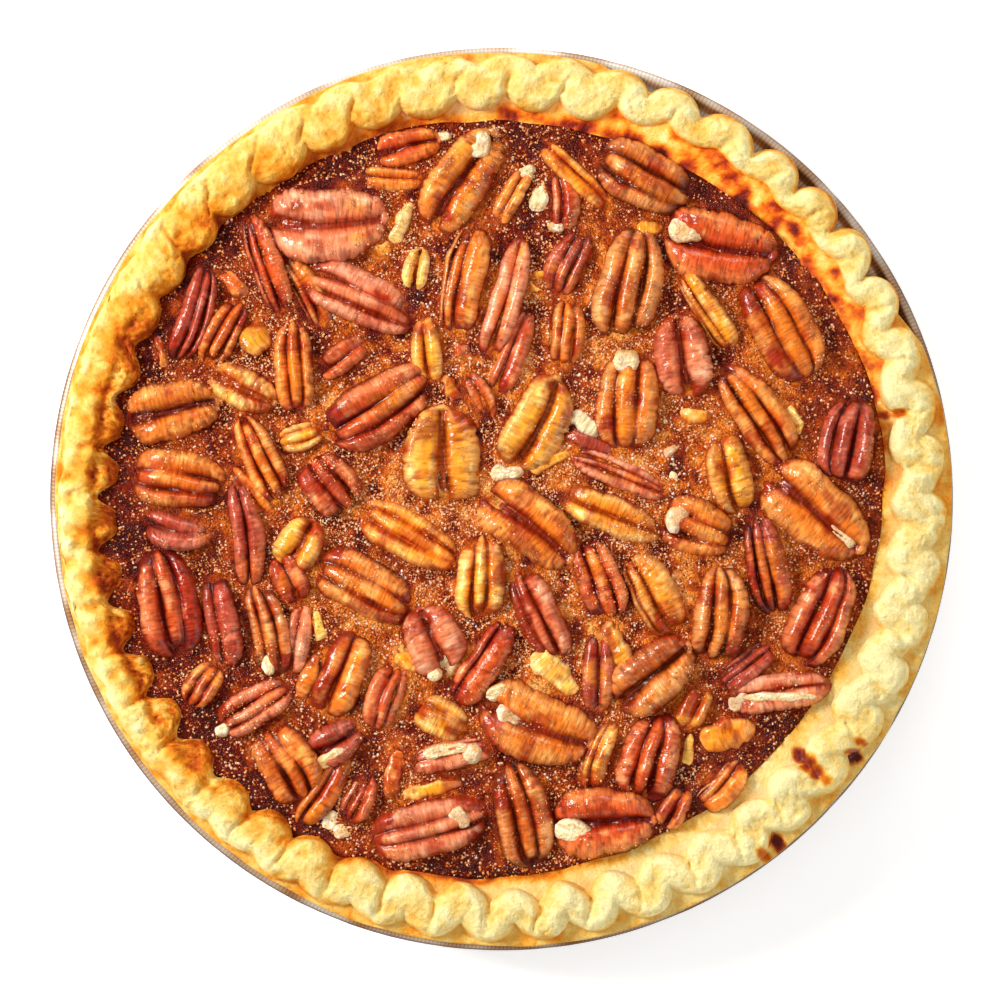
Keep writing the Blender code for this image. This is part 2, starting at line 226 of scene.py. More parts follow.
# Smaller nuts and broken pieces: kind, x, y, heading, length, width, tone
SMALL_NUTS = (
    ("side", -50.0, 52.0, 120, 22.0, 8.0, "o"),
    ("chip", -68.0, 55.0, -40, 10.0, 4.5, "d"),
    ("chip", -86.5, 37.5, 105, 10.0, 3.2, "b"),
    ("face", -23.5, 89.3, 13, 18.0, 9.5, "c"),
    ("side", -27.5, 81.5, -3, 17.0, 6.5, "o"),
    ("side", 3.0, 77.0, 62, 17.0, 6.5, "o"),
    ("side", 15.0, 76.0, 95, 17.0, 7.5, "r"),
    ("side", 19.0, 82.0, -42, 26.0, 6.5, "h"),
    ("back", 17.5, 60.0, 66, 19.0, 10.0, "m"),
    ("side", 2.8, 37.0, 68, 24.5, 7.5, "r"),
    ("back", 16.5, 42.0, 86, 18.5, 9.5, "o"),
    ("face", -21.2, 58.5, 80, 12.0, 7.0, "y"),
    ("chip", -25.3, 69.5, 68, 12.5, 4.5, "k"),
    ("side", -18.3, 38.0, 96, 18.0, 8.0, "g"),
    ("side", -40.0, 36.0, 35, 15.5, 8.0, "r"),
    ("side", -82.5, -7.0, -12, 19.0, 9.5, "m"),
    ("side", -63.5, 2.0, 131, 18.0, 5.0, "o"),
    ("back", -50.5, 16.5, 18, 13.0, 7.5, "g"),
    ("face", -51.0, -11.5, 60, 15.0, 12.0, "g"),
    ("side", -54.0, -20.5, 115, 14.0, 9.5, "r"),
    ("side", -52.0, -36.0, 80, 20.0, 7.5, "p"),
    ("side", -6.0, 26.0, 117, 14.5, 6.5, "r"),
    ("chip", 11.7, 9.0, 27, 13.0, 3.2, "g"),
    ("chip", 21.0, 19.0, -35, 10.0, 5.0, "w"),
    ("chip", 23.0, 13.5, -20, 16.0, 4.0, "m"),
    ("back", -75.8, -47.0, 55, 13.0, 9.0, "o"),
    ("face", -42.0, -61.5, 30, 15.5, 11.0, "m"),
    ("chip", -49.3, -45.0, 68, 13.0, 4.5, "o"),
    ("side", -45.0, -73.0, 58, 24.0, 8.0, "d"),
    ("side", -36.3, -76.1, 65, 14.0, 8.0, "r"),
    ("chip", -46.3, -32.5, 100, 9.0, 3.5, "y"),
    ("back", -29.0, -50.0, 70, 19.0, 10.0, "r"),
    ("back", -15.0, -56.0, -25, 15.0, 10.5, "g"),
    ("side", -12.0, -65.3, 12, 24.0, 7.5, "p"),
    ("side", 24.3, -44.5, 88, 22.0, 8.5, "m"),
    ("chip", 29.0, -37.0, -60, 13.0, 7.0, "g"),
    ("chip", 13.5, -44.5, -40, 16.0, 7.0, "y"),
    ("chip", -17.5, -73.8, 12, 16.0, 4.5, "g"),
    ("chip", -27.3, -69.5, 78, 13.5, 5.0, "o"),
    ("side", 25.5, -65.5, 72, 20.0, 8.0, "g"),
    ("side", 44.0, -78.3, 60, 13.0, 8.0, "r"),
    ("side", 55.7, -72.5, 48, 17.0, 8.5, "o"),
    ("side", 62.5, -42.0, 38, 17.5, 8.0, "m"),
    ("side", 49.0, -53.0, 62, 12.0, 8.5, "g"),
    ("chip", 57.5, -60.0, 15, 15.0, 9.5, "h"),
    ("chip", 47.3, -64.0, 80, 9.0, 3.5, "y"),
    ("chip", -63.0, 41.0, 30, 9.0, 9.0, "g"),
    ("chip", 74.0, 20.0, -70, 9.0, 4.0, "y"),
    ("chip", 49.0, 21.0, 0, 8.0, 5.0, "g"),
    ("chip", -12.0, 28.0, 120, 8.0, 4.5, "g"),
    ("chip", 37.5, 69.0, 0, 8.0, 4.0, "g"),
    ("chip", 9.0, 53.0, -25, 5.0, 2.6, "g"),
    ("chip", 10.0, 57.0, 10, 4.0, 3.0, "g"),
    ("chip", -10.0, 38.0, 0, 4.5, 4.0, "r"),
    ("chip", -30.0, 63.5, 20, 5.5, 4.0, "g"),
    ("chip", -23.5, -41.5, -25, 8.0, 5.0, "g"),
)

# Pale broken kernel and hinge scraps, most of them on a nut: x, y, heading, length, width
CREAM_BITS = (
    (47.0, 68.0, -13, 10.0, 6.0),
    (-15.0, 91.8, 10, 4.5, 3.0),
    (-5.5, 90.0, 70, 7.0, 5.0),
    (6.5, 83.0, 40, 5.0, 4.5),
    (9.5, 77.5, 50, 9.5, 7.0),
    (14.0, 69.0, 0, 4.0, 3.0),
    (31.5, 35.0, 0, 6.5, 6.0),
    (1.5, 6.5, -10, 8.0, 4.5),
    (18.5, -85.0, -10, 10.0, 6.5),
    (-10.5, -81.0, -40, 6.0, 4.0),
    (2.2, -54.5, -20, 6.5, 6.0),
    (-1.0, -48.8, 20, 6.0, 3.5),
    (-43.5, -81.5, 70, 6.0, 5.0),
    (-39.5, -84.0, 40, 7.0, 5.0),
    (-43.0, -65.5, 25, 8.0, 3.0),
    (-70.5, -58.5, 60, 4.0, 3.0),
    (-59.0, -42.0, 100, 5.0, 3.5),
    (-14.0, -41.5, 50, 8.0, 6.0),
    (-17.0, -44.5, 10, 4.0, 3.0),
    (86.5, -9.5, -50, 8.0, 6.0),
    (44.5, -5.0, 70, 7.0, 5.0),
    (42.5, 12.5, 20, 5.0, 3.5),
    (41.5, 20.5, 90, 3.5, 2.0),
    (43.5, 6.0, 0, 3.0, 3.0),
    (70.5, -50.2, 8, 19.0, 2.6),
    (60.5, -51.6, 20, 6.0, 4.0),
    (-14.0, -64.0, 8, 12.0, 4.0),
    (-7.5, -64.6, 60, 5.0, 4.5),
)


# ---------------------------------------------------------------- noise and colour


def scramble(x, y, z, seed):
    """Repeatable number from 0 to 1 for each whole-number point."""
    h = (x * 374761393 + y * 668265263 + z * 1274126177 + seed * 974634777) & 0xFFFFFFFF
    h = ((h ^ (h >> 13)) * 1274126177) & 0xFFFFFFFF
    h = ((h ^ (h >> 16)) * 668265263) & 0xFFFFFFFF
    return (h ^ (h >> 15)) / 4294967296.0


def noise(points, cell, seed):
    """Smooth noise from -1 to 1 at points (..., 3); cell is the size of its lumps."""
    scaled = points / cell
    whole = np.floor(scaled).astype(np.int64)
    part = scaled - whole
    share = part * part * (3.0 - 2.0 * part)
    total = np.zeros(points.shape[:-1])
    for corner in np.ndindex(2, 2, 2):
        weight = np.ones(points.shape[:-1])
        for axis in range(3):
            weight = weight * (share[..., axis] if corner[axis] else 1.0 - share[..., axis])
        at = whole + np.array(corner)
        total += weight * scramble(at[..., 0], at[..., 1], at[..., 2], seed)
    return 2.0 * total - 1.0


def layered(points, cell, octaves, seed):
    """Noise with finer and weaker noise on it."""
    total = sum(noise(points, cell / 2**k, seed + k) / 2**k for k in range(octaves))
    return total / (2.0 - 0.5 ** (octaves - 1))


def cell_distance(points, cell, seed):
    """Distance in plan to the nearest of scattered centres, about one to a cell, in cells."""
    x = points[..., 0] / cell
    y = points[..., 1] / cell
    whole_x = np.floor(x).astype(np.int64)
    whole_y = np.floor(y).astype(np.int64)
    nearest = np.full(x.shape, 9.0)
    for i, j in np.ndindex(3, 3):
        cx = whole_x + i - 1
        cy = whole_y + j - 1
        along = x - cx - scramble(cx, cy, 0, seed)
        across = y - cy - scramble(cx, cy, 1, seed)
        nearest = np.minimum(nearest, np.hypot(along, across))
    return nearest


def linear(code):
    """Linear colour of a screen colour such as #F0A040."""
    channels = np.array([int(code[i : i + 2], 16) for i in (1, 3, 5)]) / 255.0
    return np.where(channels < 0.04045, channels / 12.92, ((channels + 0.055) / 1.055) ** 2.4)


def ramp(amount, stops):
    """Colours for an array of amounts, between stops of (amount, screen colour)."""
    at = [stop for stop, _ in stops]
    codes = np.array([linear(code) for _, code in stops])
    return np.stack([np.interp(amount, at, codes[:, i]) for i in range(3)], -1)


def blend(first, second, share):
    """Colours between two colours; share is an array."""
    share = np.clip(share, 0.0, 1.0)[..., None]
    return first * (1.0 - share) + second * share


def bump(azimuth, centre, reach):
    """Smooth hill round the rim: 1 at centre, 0 from reach degrees away."""
    offset = np.abs((azimuth - centre + 180.0) % 360.0 - 180.0)
    return np.where(offset < reach, 0.5 + 0.5 * np.cos(np.pi * offset / reach), 0.0)


def by_azimuth(azimuth, table, column):
    """A column of a table whose rows begin with an azimuth, read between its rows."""
    return np.interp(azimuth, [row[0] for row in table], [row[column] for row in table], period=360.0)


def ease(value, low, high):
    """0 below low, 1 above high and smooth between."""
    share = np.clip((value - low) / (high - low), 0.0, 1.0)
    return share * share * (3.0 - 2.0 * share)


# ---------------------------------------------------------------- meshes


def around(azimuth, radius, height=0.0):
    """Points (..., 3) at these azimuths, radii and heights."""
    angle = np.radians(azimuth)
    parts = np.broadcast_arrays(radius * np.cos(angle), radius * np.sin(angle), height)
    return np.stack(parts, -1)


def in_plan(x, y):
    """Points (..., 3) on the level z = 0."""
    return np.stack([x, y, 0.0 * x], -1)


def grid_faces(rows, columns, wrap=True):
    """Quads of a grid numbered row by row, which face up where its rows run outwards.

    Its columns then run counter-clockwise, and the last joins the first unless wrap is off.
    """
    i = np.arange(rows - 1)[:, None] * columns
    j = np.arange(columns if wrap else columns - 1)[None, :]
    following = (j + 1) % columns
    corners = (i + columns + j, i + columns + following, i + following, i + j)
    return np.stack(corners, -1).reshape(-1, 4)


def fan_faces(ring, centre, flip=False):
    """Triangles between a ring of point numbers and one point."""
    following = np.roll(ring, -1)
    if flip:
        ring, following = following, ring
    return np.stack([ring, following, np.full(len(ring), centre)], -1)


def skin_faces(rows, columns):
    """Faces of a closed skin: a grid, with a fan at each end to a point numbered after it."""
    ring = np.arange(columns)
    count = rows * columns
    ends = [fan_faces(ring, count, flip=True), fan_faces(ring + count - columns, count + 1)]
    return [grid_faces(rows, columns)[:, ::-1], *ends]


class Shape:
    """Points in mm, faces and colours of one piece, gathered from several grids."""

    def __init__(self):
        self.points = []
        self.colours = []
        self.own = []
        self.faces = []
        self.count = 0

    def add(self, points, faces, colours, own=None):
        """Take in points and their faces; colours are (n, 4) or (4,), with the gloss as the last."""
        points = points.reshape(-1, 3)
        self.points.append(points)
        self.colours.append(np.broadcast_to(colours, (len(points), 4)))
        self.own.append(points if own is None else own.reshape(-1, 3))
        self.faces += [part + self.count for part in faces]
        self.count += len(points)

    def build(self, name, material):
        """Make the piece, which rides on the pie's one body."""
        points = np.concatenate(self.points) * MM
        sizes = np.concatenate([np.full(len(part), part.shape[1]) for part in self.faces])
        corners = np.concatenate([part.ravel() for part in self.faces])
        mesh = bpy.data.meshes.new(name)
        mesh.vertices.add(len(points))
        mesh.vertices.foreach_set("co", points.astype(np.float32).ravel())
        mesh.loops.add(len(corners))
        mesh.loops.foreach_set("vertex_index", corners.astype(np.int32))
        mesh.polygons.add(len(sizes))
        mesh.polygons.foreach_set("loop_start", np.r_[0, np.cumsum(sizes)[:-1]].astype(np.int32))
        tint = mesh.attributes.new("tint", "FLOAT_COLOR", "POINT")
        tint.data.foreach_set("color", np.concatenate(self.colours).astype(np.float32).ravel())
        own = mesh.attributes.new("own", "FLOAT_VECTOR", "POINT")
        own.data.foreach_set("vector", np.concatenate(self.own).astype(np.float32).ravel())
        mesh.update(calc_edges=True)
        mesh.validate()
        mesh.shade_smooth()
        mesh.materials.append(material)
        piece = bpy.data.objects.new(name, mesh)
        bpy.context.scene.collection.objects.link(piece)
        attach(piece, "root")
        return piece


def coloured(colour, gloss):
    """Colours (..., 3) with a gloss for each, as (n, 4)."""
    gloss = np.broadcast_to(gloss, colour.shape[:-1])
    return np.concatenate([colour, gloss[..., None]], -1).reshape(-1, 4)


# ---------------------------------------------------------------- reading the frame


def node_points(name):
    """A CAD node's points in mm."""
    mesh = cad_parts[name].data
    flat = np.empty(len(mesh.vertices) * 3, np.float32)
    mesh.vertices.foreach_get("co", flat)
    return flat.reshape(-1, 3).astype(float) / MM


def node_box(name):
    """A CAD node's lowest and highest corner in mm."""
    low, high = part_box(name)
    return np.array(low) / MM, np.array(high) / MM


class Nut:
    """One pecan: where it lies, how long and wide it is, and how high it stands."""

    def __init__(self, kind, x, y, heading, length, width, tone, base, height, node=None):
        self.kind = kind
        self.centre = np.array([x, y])
        turn = math.radians(heading)
        self.along = np.array([math.cos(turn), math.sin(turn)])
        self.across = np.array([-math.sin(turn), math.cos(turn)])
        self.length = length
        self.width = width
        self.tone = tone
        self.base = base
        self.height = height
        self.node = node

    def clearance(self, x, y):
        """Distance in plan from the nut's outline, less than 0 inside it."""
        u = ((x - self.centre[0]) * self.along[0] + (y - self.centre[1]) * self.along[1]) / (self.length / 2)
        v = ((x - self.centre[0]) * self.across[0] + (y - self.centre[1]) * self.across[1]) / (self.width / 2)
        reach = np.maximum((np.abs(u) ** 2.3 + np.abs(v) ** 2.3) ** (1 / 2.3), 0.05)
        return np.hypot(x - self.centre[0], y - self.centre[1]) * (1.0 - 1.0 / reach)


def nut_of_node(name, tone):
    """Read a larger nut from its CAD node, whose ends are its two farthest points."""
    points = node_points(name)
    plan = points[:, :2]
    apart = np.linalg.norm(plan[:, None] - plan[None, :], axis=-1)
    first, second = np.unravel_index(apart.argmax(), apart.shape)
    tail, tip = plan[first], plan[second]
    along = (tip - tail) / apart.max()
    across = np.array([-along[1], along[0]])
    middle = (tip + tail) / 2
    u = (plan - middle) @ along
    v = np.abs((plan - middle) @ across)
    if v[u > 1.0].max() > v[u < -1.0].max():
        along = -along
    heading = math.degrees(math.atan2(along[1], along[0]))
    low, high = node_box(name)
    kind = name.split("_")[1]
    length = apart.max() * SWELL
    width = 2.0 * v.max() * SWELL
    return Nut(kind, *middle, heading, length, width, tone, low[2], high[2] - low[2], name)


def larger_nuts():
    names = sorted((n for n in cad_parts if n.startswith("pecan_")), key=lambda n: n[-2:])
    return [nut_of_node(name, tone) for name, tone in zip(names, NUT_TONES)]


def smaller_nuts():
    """The nuts too small for the CAD, lying a little lower than the larger ones."""
    nuts = []
    for kind, x, y, heading, length, width, tone in SMALL_NUTS:
        height = min(5.0, 1.6 + 0.32 * width)
        base = filling_level(x, y) - 0.2
        nuts.append(Nut(kind, x, y, heading, length, width, tone, base, height))
    return nuts


RIM_RADIUS = node_box("tin")[1][0]
FLANGE_HEIGHT = node_box("tin")[1][2] - BEAD + FOIL / 2
FILLING_EDGE_HEIGHT = node_box("filling")[1][2] - CROWN
CRUST_TOP = node_box("crust")[1][2]


# ---------------------------------------------------------------- shape of the pastry


def flute_phase(azimuth):
    """Counts the flutes; a whole number is a notch of the inner edge."""
    drift = FLUTE_DRIFT * (1.0 + np.cos(np.radians(azimuth - DRIFT_AZIMUTH)))
    uneven = 0.55 * noise(around(azimuth, 60.0), 9.0, 3)
    return (azimuth - FIRST_NOTCH + drift + uneven) * FLUTES / 360.0


def rope_path(azimuth):
    """Samples, beside each azimuth, of the path that the pinched rope winds along.

    Gives how far along the rim each sample lies, its radius, half-width and crest height, and
    how flat the rope's top is. The path swings out at each notch and in at each lobe.
    """
    reach = np.linspace(-1.1, 1.1, PATH_SAMPLES)[:, None]
    at = flute_phase(azimuth)[None] + reach
    lobe_in, notch_in, notch_out, lobe_out = (by_azimuth(azimuth, ROPE, i) for i in range(1, 5))
    slant = by_azimuth(azimuth, ROPE, 6)
    beaded = bump(azimuth, *BEADED)
    wave = np.cos(2.0 * np.pi * at)
    swing = 0.5 + 0.5 * np.sign(wave) * np.abs(wave) ** 0.8
    flute = np.floor(at).astype(np.int64)
    uneven = [(scramble(flute, 0, 0, seed) - 0.5) * (1.0 - swing) for seed in (91, 92, 93)]
    inward = (lobe_in + notch_out) / 2 + 1.1 * uneven[0]
    outward = (notch_in + lobe_out) / 2
    centre = inward + (outward - inward) * swing
    half = (notch_out - lobe_in) / 2 * (1.0 - swing) + (lobe_out - notch_in) / 2 * swing
    half = half + 0.8 * uneven[1] - 0.2
    along = reach * FLUTE_PITCH + slant * 1.2 * (centre - ROPE_MIDDLE) / 3.5
    lowered = 1.3 + 0.9 * swing * (1.0 - beaded) + 1.6 * beaded * (1.0 - swing)
    crest = CRUST_TOP - lowered + 1.5 * uneven[2]
    flat = 3.0 + 4.0 * bump(azimuth, 125, 75)
    return along, centre, half, crest, flat


def rope_edges(path):
    """Radius at which the rope begins and ends at each azimuth."""
    along, centre, half = path[:3]
    chord = half**2 - along**2
    reach = np.sqrt(np.maximum(chord, 0.0))
    inner = np.where(chord > 0.0, centre - reach, 999.0).min(0)
    outer = np.where(chord > 0.0, centre + reach, 0.0).max(0)
    return inner, outer


def rope_height(path, radius, foot):
    """Height of the rounded rope over its foot; radius is (rings, azimuths)."""
    along, centre, half, crest, flat = path
    height = foot.copy()
    for i in range(len(along)):
        off = np.hypot(along[i], radius - centre[i]) / half[i]
        dome = (1.0 - np.minimum(off, 1.0) ** flat) ** 0.55
        height = np.maximum(height, foot + (crest[i] - foot) * dome)
    return height


def crust_rings(azimuth, path, fill):
    """Radii (rings, azimuths) of the visible pastry's wall, rope and ledge, and the ledge's last."""
    wavering = 0.3 * noise(around(azimuth, 60.0), 4.0, 5)
    inner, outer = rope_edges(path)
    inner = np.maximum(inner, fill + 0.6)
    outer = np.minimum(outer + wavering, ROPE_LIMIT)
    ledge = np.maximum(by_azimuth(azimuth, ROPE, 5) + wavering, outer + 0.35)
    wall_share = np.linspace(0.0, 1.0, WALL_RINGS + 1)[:-1, None]
    rope_share = 0.5 - 0.5 * np.cos(np.linspace(0.0, np.pi, ROPE_RINGS))[:, None]
    ledge_share = np.linspace(0.0, 1.0, LEDGE_RINGS + 1)[1:, None]
    radius = np.concatenate([
        fill + wall_share * (inner - fill),
        inner + rope_share * (outer - inner),
        outer + ledge_share * (ledge - outer),
    ])
    return radius, ledge


def crust_surface(azimuth):
    """Points (rings, azimuths, 3) of the visible pastry, how far each is rope, and the ledge."""
    path = rope_path(azimuth)
    fill = filling_radius(azimuth)
    radius, ledge = crust_rings(azimuth, path, fill)
    start = FILLING_EDGE_HEIGHT - 0.4
    brink = start + 1.4 + 1.6 * bump(azimuth, 90, 100)
    foot = start + (brink - start) * ease(radius, fill, BRINK_RADIUS)
    foot = foot - (brink - LEDGE_HEIGHT) * ease(radius, BRINK_RADIUS, 109.0)
    height = rope_height(path, radius, foot)
    rope = np.clip((height - foot) / 2.0, 0.0, 1.0)
    height = height - (fold_depth(azimuth, radius) + flap_drop(azimuth, radius)) * rope
    radius = np.concatenate([fill[None] - 1.0, radius])
    height = np.concatenate([0.0 * fill[None] + start - 0.8, height])
    rope = np.concatenate([0.0 * rope[:1], rope])
    return around(azimuth, radius, height), rope, ledge


def flap_drop(azimuth, radius):
    """How much lower the flaps lie on the left, inside the rumpled outer band."""
    step = ease(radius + 0.7 * noise(around(azimuth, 105.0), 3.0, 99), 104.8, 103.2)
    return 2.3 * bump(azimuth, 195, 72) * step


def fold_depth(azimuth, radius):
    """Creases where each pinch folds the dough: they run outwards from the notches, at a slant."""
    phase = flute_phase(azimuth)
    nearest = np.rint(phase)
    number = nearest.astype(np.int64)
    leaning = 0.15 + 0.7 * bump(azimuth, 130, 45) + 0.25 * bump(azimuth, 320, 60)
    lean = leaning + 0.5 * (scramble(number, 0, 0, 95) - 0.5)
    strength = 0.5 + 0.7 * scramble(number, 0, 0, 96)
    wander = 0.8 * noise(around(azimuth, 105.0, radius), 3.0, 97)
    off = (phase - nearest) * FLUTE_PITCH + lean * (radius - 104.5) + wander
    fading = ease(radius, 113.0 - 3.5 * bump(azimuth, 90, 60) - 3.0 * bump(azimuth, 195, 60), 107.0)
    return 1.4 * strength * np.exp(-((off / 0.75) ** 2)) * ease(radius, 102.5, 104.5) * fading


def kneaded(points):
    """Unevenness of the dough: soft dents, cracks and pores, in mm; more than 0 is higher."""
    azimuth = np.degrees(np.arctan2(points[..., 1], points[..., 0])) % 360.0
    rumpled = bump(azimuth, 185, 75)
    dents = 0.80 * layered(points, 5.5, 2, 21) + (0.55 + 0.5 * rumpled) * noise(points, 2.8, 23)
    crack = 1.0 - np.abs(layered(points, 3.6, 2, 25)) / 0.12
    cracks = np.clip(crack, 0.0, 1.0) * ease(noise(points, 7.0, 27), -0.1, 0.35)
    pores = np.maximum(0.0, 0.34 - cell_distance(points, 1.7, 31)) * 1.2
    return dents + 0.28 * noise(points, 1.1, 29) - (0.5 + 0.4 * rumpled) * cracks - pores


def crust_hidden_rings(ledge):
    """Rings of the edge, the underside, the wall and the floor, which the tin covers."""
    seat = FLANGE_HEIGHT + 0.3
    floor = node_box("tin")[0][2] + 0.7
    return [
        (ledge + 0.15, LIP_HEIGHT + 0.2),
        (ledge - 0.2, LIP_HEIGHT),
        (np.minimum(ledge - 0.6, 111.5), LIP_HEIGHT),
        (np.minimum(ledge - 1.0, SEAT_RADIUS), seat),
        (MOUTH_RADIUS - FOIL, seat),
        (BASE_RADIUS - FOIL, floor),
    ]


def close_crust(shape, azimuth, ledge, rings):
    """Add the hidden underside, wall and floor of the case, down to which the filling reaches."""
    hidden = crust_hidden_rings(ledge)
    low = np.array([around(azimuth, radius, height) for radius, height in hidden])
    foot = around(azimuth, CASE_FLOOR_RADIUS, CASE_FLOOR)
    centres = np.array([[0.0, 0.0, hidden[-1][1]], [0.0, 0.0, CASE_FLOOR]])
    ring = np.arange(CRUST_STEPS)
    last_low = (len(low) - 1) * CRUST_STEPS
    centre = last_low + 2 * CRUST_STEPS
    faces = [
        grid_faces(len(low), CRUST_STEPS),
        fan_faces(ring + last_low, centre, flip=True),
        fan_faces(ring + last_low + CRUST_STEPS, centre + 1),
    ]
    start = shape.count
    points = np.concatenate([low.reshape(-1, 3), foot, centres])
    shape.add(points, faces, np.append(linear(UNSEEN_PASTRY), 0.0))

    following = np.roll(ring, -1)
    last = (rings - 1) * CRUST_STEPS
    inside = start + last_low + CRUST_STEPS
    edge = np.stack([start + ring, start + following, last + following, last + ring], -1)
    wall = np.stack([ring, following, inside + following, inside + ring], -1)
    shape.faces += [edge, wall]


# ---------------------------------------------------------------- colour of the pastry


def scorched(points):
    """Darkening of the burnt or syrup-soaked spots, 0 elsewhere; they run in and out more than round."""
    amount = np.zeros(points.shape[:-1])
    for x, y, reach, darkening in SCORCHES:
        distance = math.hypot(x, y)
        across = (points[..., 0] * x + points[..., 1] * y) / distance - distance
        along = (points[..., 1] * x - points[..., 0] * y) / distance
        off = np.hypot(0.85 * across, 1.15 * along) + 1.3 * layered(points, 2.2, 2, 19)
        amount = np.maximum(amount, darkening * ease(off, reach, 0.25 * reach))
    return amount


def dough_browning(points, radius, azimuth, rope, relief):
    """Browning of the rope and ledge: pale at the lower right, with golden-brown flaps on the left. Painted
    shade browns it more where it lies low, in its dents and along the step to the flaps, and painted
    highlight makes its bumps paler.
    """
    left, upper, top, right = (bump(azimuth, *side) for side in (LEFT, UPPER, TOP, RIGHT))
    low = ease(points[..., 2], CRUST_TOP - 2.0, CRUST_TOP - 6.0)
    blotches = layered(points, 7.0, 3, 11)
    # painted shade and highlight: the dents, cracks and pores are browned more and the bumps are made paler
    amount = 0.12 + 0.10 * upper + 0.06 * left - 0.09 * right - 0.20 * relief
    amount = amount + 0.22 * blotches + 0.14 * layered(points, 1.2, 2, 17)
    # painted shade: the pastry is browned more where it lies low
    amount = amount + low * (0.26 - 0.12 * right - 0.10 * top)
    golden = ease(radius, 111.5 + 0.5 * upper, 104.5)
    amount = amount + rope * golden * (0.44 * left + 0.16 * upper) * (0.9 + 0.5 * blotches)
    flap = ease(radius, 104.8, 103.4) * (0.04 + 0.30 * noise(points, 0.6, 15))
    # painted shade: step browns a narrow band along the step down to the flaps, where shade falls
    step = 0.14 * np.exp(-(((radius - 103.8) / 1.2) ** 2))
    amount = np.minimum(amount, 0.88) + left * rope * (flap + step)
    # painted shade: the ledge is browned more where it lies low
    ledge = ease(radius, 109.0, 111.0) * low
    return amount + 0.10 * ledge * np.clip(1.0 - 1.6 * left - 1.2 * upper, -0.6, 1.0)


def wall_browning(points, radius, azimuth, rope):
    """Browning inside the rope: stained by syrup, with a caramel line where the filling meets it."""
    syrupy = bump(azimuth, *SYRUPY)
    top = bump(azimuth, *TOP)
    stained = 0.02 + 0.26 * syrupy + 0.04 * top + 0.26 * bump(azimuth, 155, 65)
    stained = stained + layered(points, 3.4, 3, 13) * (1.1 * syrupy + 0.45 * top)
    off = radius - filling_radius(azimuth) - 1.5 - 0.8 * noise(points, 6.0, 22)
    width = 1.1 + 1.4 * bump(azimuth, 85, 60)
    strength = 0.12 + 0.60 * bump(azimuth, 258, 50) + 0.35 * np.maximum(top, syrupy)
    caramel = 0.75 * strength * np.exp(-((off / width) ** 2))
    return (1.0 - rope) * (ease(radius, 106.0, 104.0) * stained + caramel)


def crust_colour(points, azimuth, rope, relief):
    """Colours of the pastry, with painted shade in the pits inside the rope, a syrup glaze on the wall that
    is also brightened as painted light, and its wetness.
    """
    radius = np.hypot(points[..., 0], points[..., 1])
    baked = dough_browning(points, radius, azimuth, rope, relief)
    browned = np.maximum(baked + wall_browning(points, radius, azimuth, rope), scorched(points))
    wall = 1.0 - rope
    # painted shade: the pits inside the rope, on the right and at the top, are blended towards a tan shade
    # colour
    pit_shade = wall * ease(radius, 97.5, 99.5) * ease(radius, 107.0, 105.0) * ease(browned, 0.7, 0.5)
    pit_shade = pit_shade * np.maximum(bump(azimuth, 315, 85), bump(azimuth, 100, 25))
    colour = blend(ramp(browned, BROWNING), linear(PIT_SHADE), 0.6 * pit_shade)
    # syrup glaze and painted light: the wall at the upper right is made more orange and brighter, which also
    # stands in for light where the rope shades it
    glaze_and_painted_light = wall * ease(radius, 106.0, 104.0) * bump(azimuth, 60, 75)
    colour = colour * (1.0 + glaze_and_painted_light[..., None] * np.array([0.50, 0.25, 0.0]))
    dry_side = 0.8 * bump(azimuth, *LEFT)
    wet = np.maximum(0.9 * wall * bump(azimuth, 60, 110), ease(browned, 0.7, 1.05) * (1.0 - dry_side))
    return coloured(colour, wet)


def make_crust(material):
    azimuth = np.arange(CRUST_STEPS) * 360.0 / CRUST_STEPS
    points, rope, ledge = crust_surface(azimuth)
    relief = kneaded(points)
    pushed = 0.5 * noise(points + 50.0, 3.2, 37) * (0.3 + 0.7 * rope)
    points = points + pushed[..., None] * around(azimuth, 1.0)
    points[..., 2] += relief * (0.3 + 0.6 * rope + 0.35 * rope * bump(azimuth, 160, 90))
    points[..., 2] = np.minimum(points[..., 2] - 0.3 * scorched(points), CRUST_TOP - 0.1)

    shape = Shape()
    faces = grid_faces(len(points), CRUST_STEPS)
    shape.add(points, [faces], crust_colour(points, azimuth, rope, relief))
    close_crust(shape, azimuth, ledge, len(points))
    crust = shape.build("pastry_case", material)
    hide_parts("crust")


# ---------------------------------------------------------------- filling


def notch(azimuth):
    """1 where the rope edge is pinched outwards, 0 where a flute bulges inwards."""
    return 0.5 + 0.5 * np.cos(2.0 * np.pi * flute_phase(azimuth))


def filling_radius(azimuth):
    """Where the filling meets the case; it runs into the deep notches on the left."""
    clear = 97.4 - 4.1 * bump(azimuth, 308, 80) - 2.3 * bump(azimuth, 75, 65)
    wander = 0.6 * noise(around(azimuth, 60.0), 5.0, 19)
    return clear + 6.6 * notch(azimuth) ** 1.5 * bump(azimuth, 195, 80) + wander


def filling_level(x, y):
    """Height of the filling before its bubbles, slightly crowned."""
    return FILLING_EDGE_HEIGHT + CROWN * (1.0 - (np.hypot(x, y) / FILLING_REACH) ** 2)


def nearest_nut(x, y, nuts):
    """Clearance in plan from the nearest nut at each point."""
    nearest = np.full(np.shape(x), 99.0)
    for nut in nuts:
        reach = nut.length / 2 + 6.0
        close = np.hypot(x - nut.centre[0], y - nut.centre[1]) < reach
        nearest[close] = np.minimum(nearest[close], nut.clearance(x[close], y[close]))
    return nearest


def clumps(points):
    """Crusted clumps of the filling, from -1, the gaps between them, to 1."""
    return layered(points, 3.2, 2, 57)


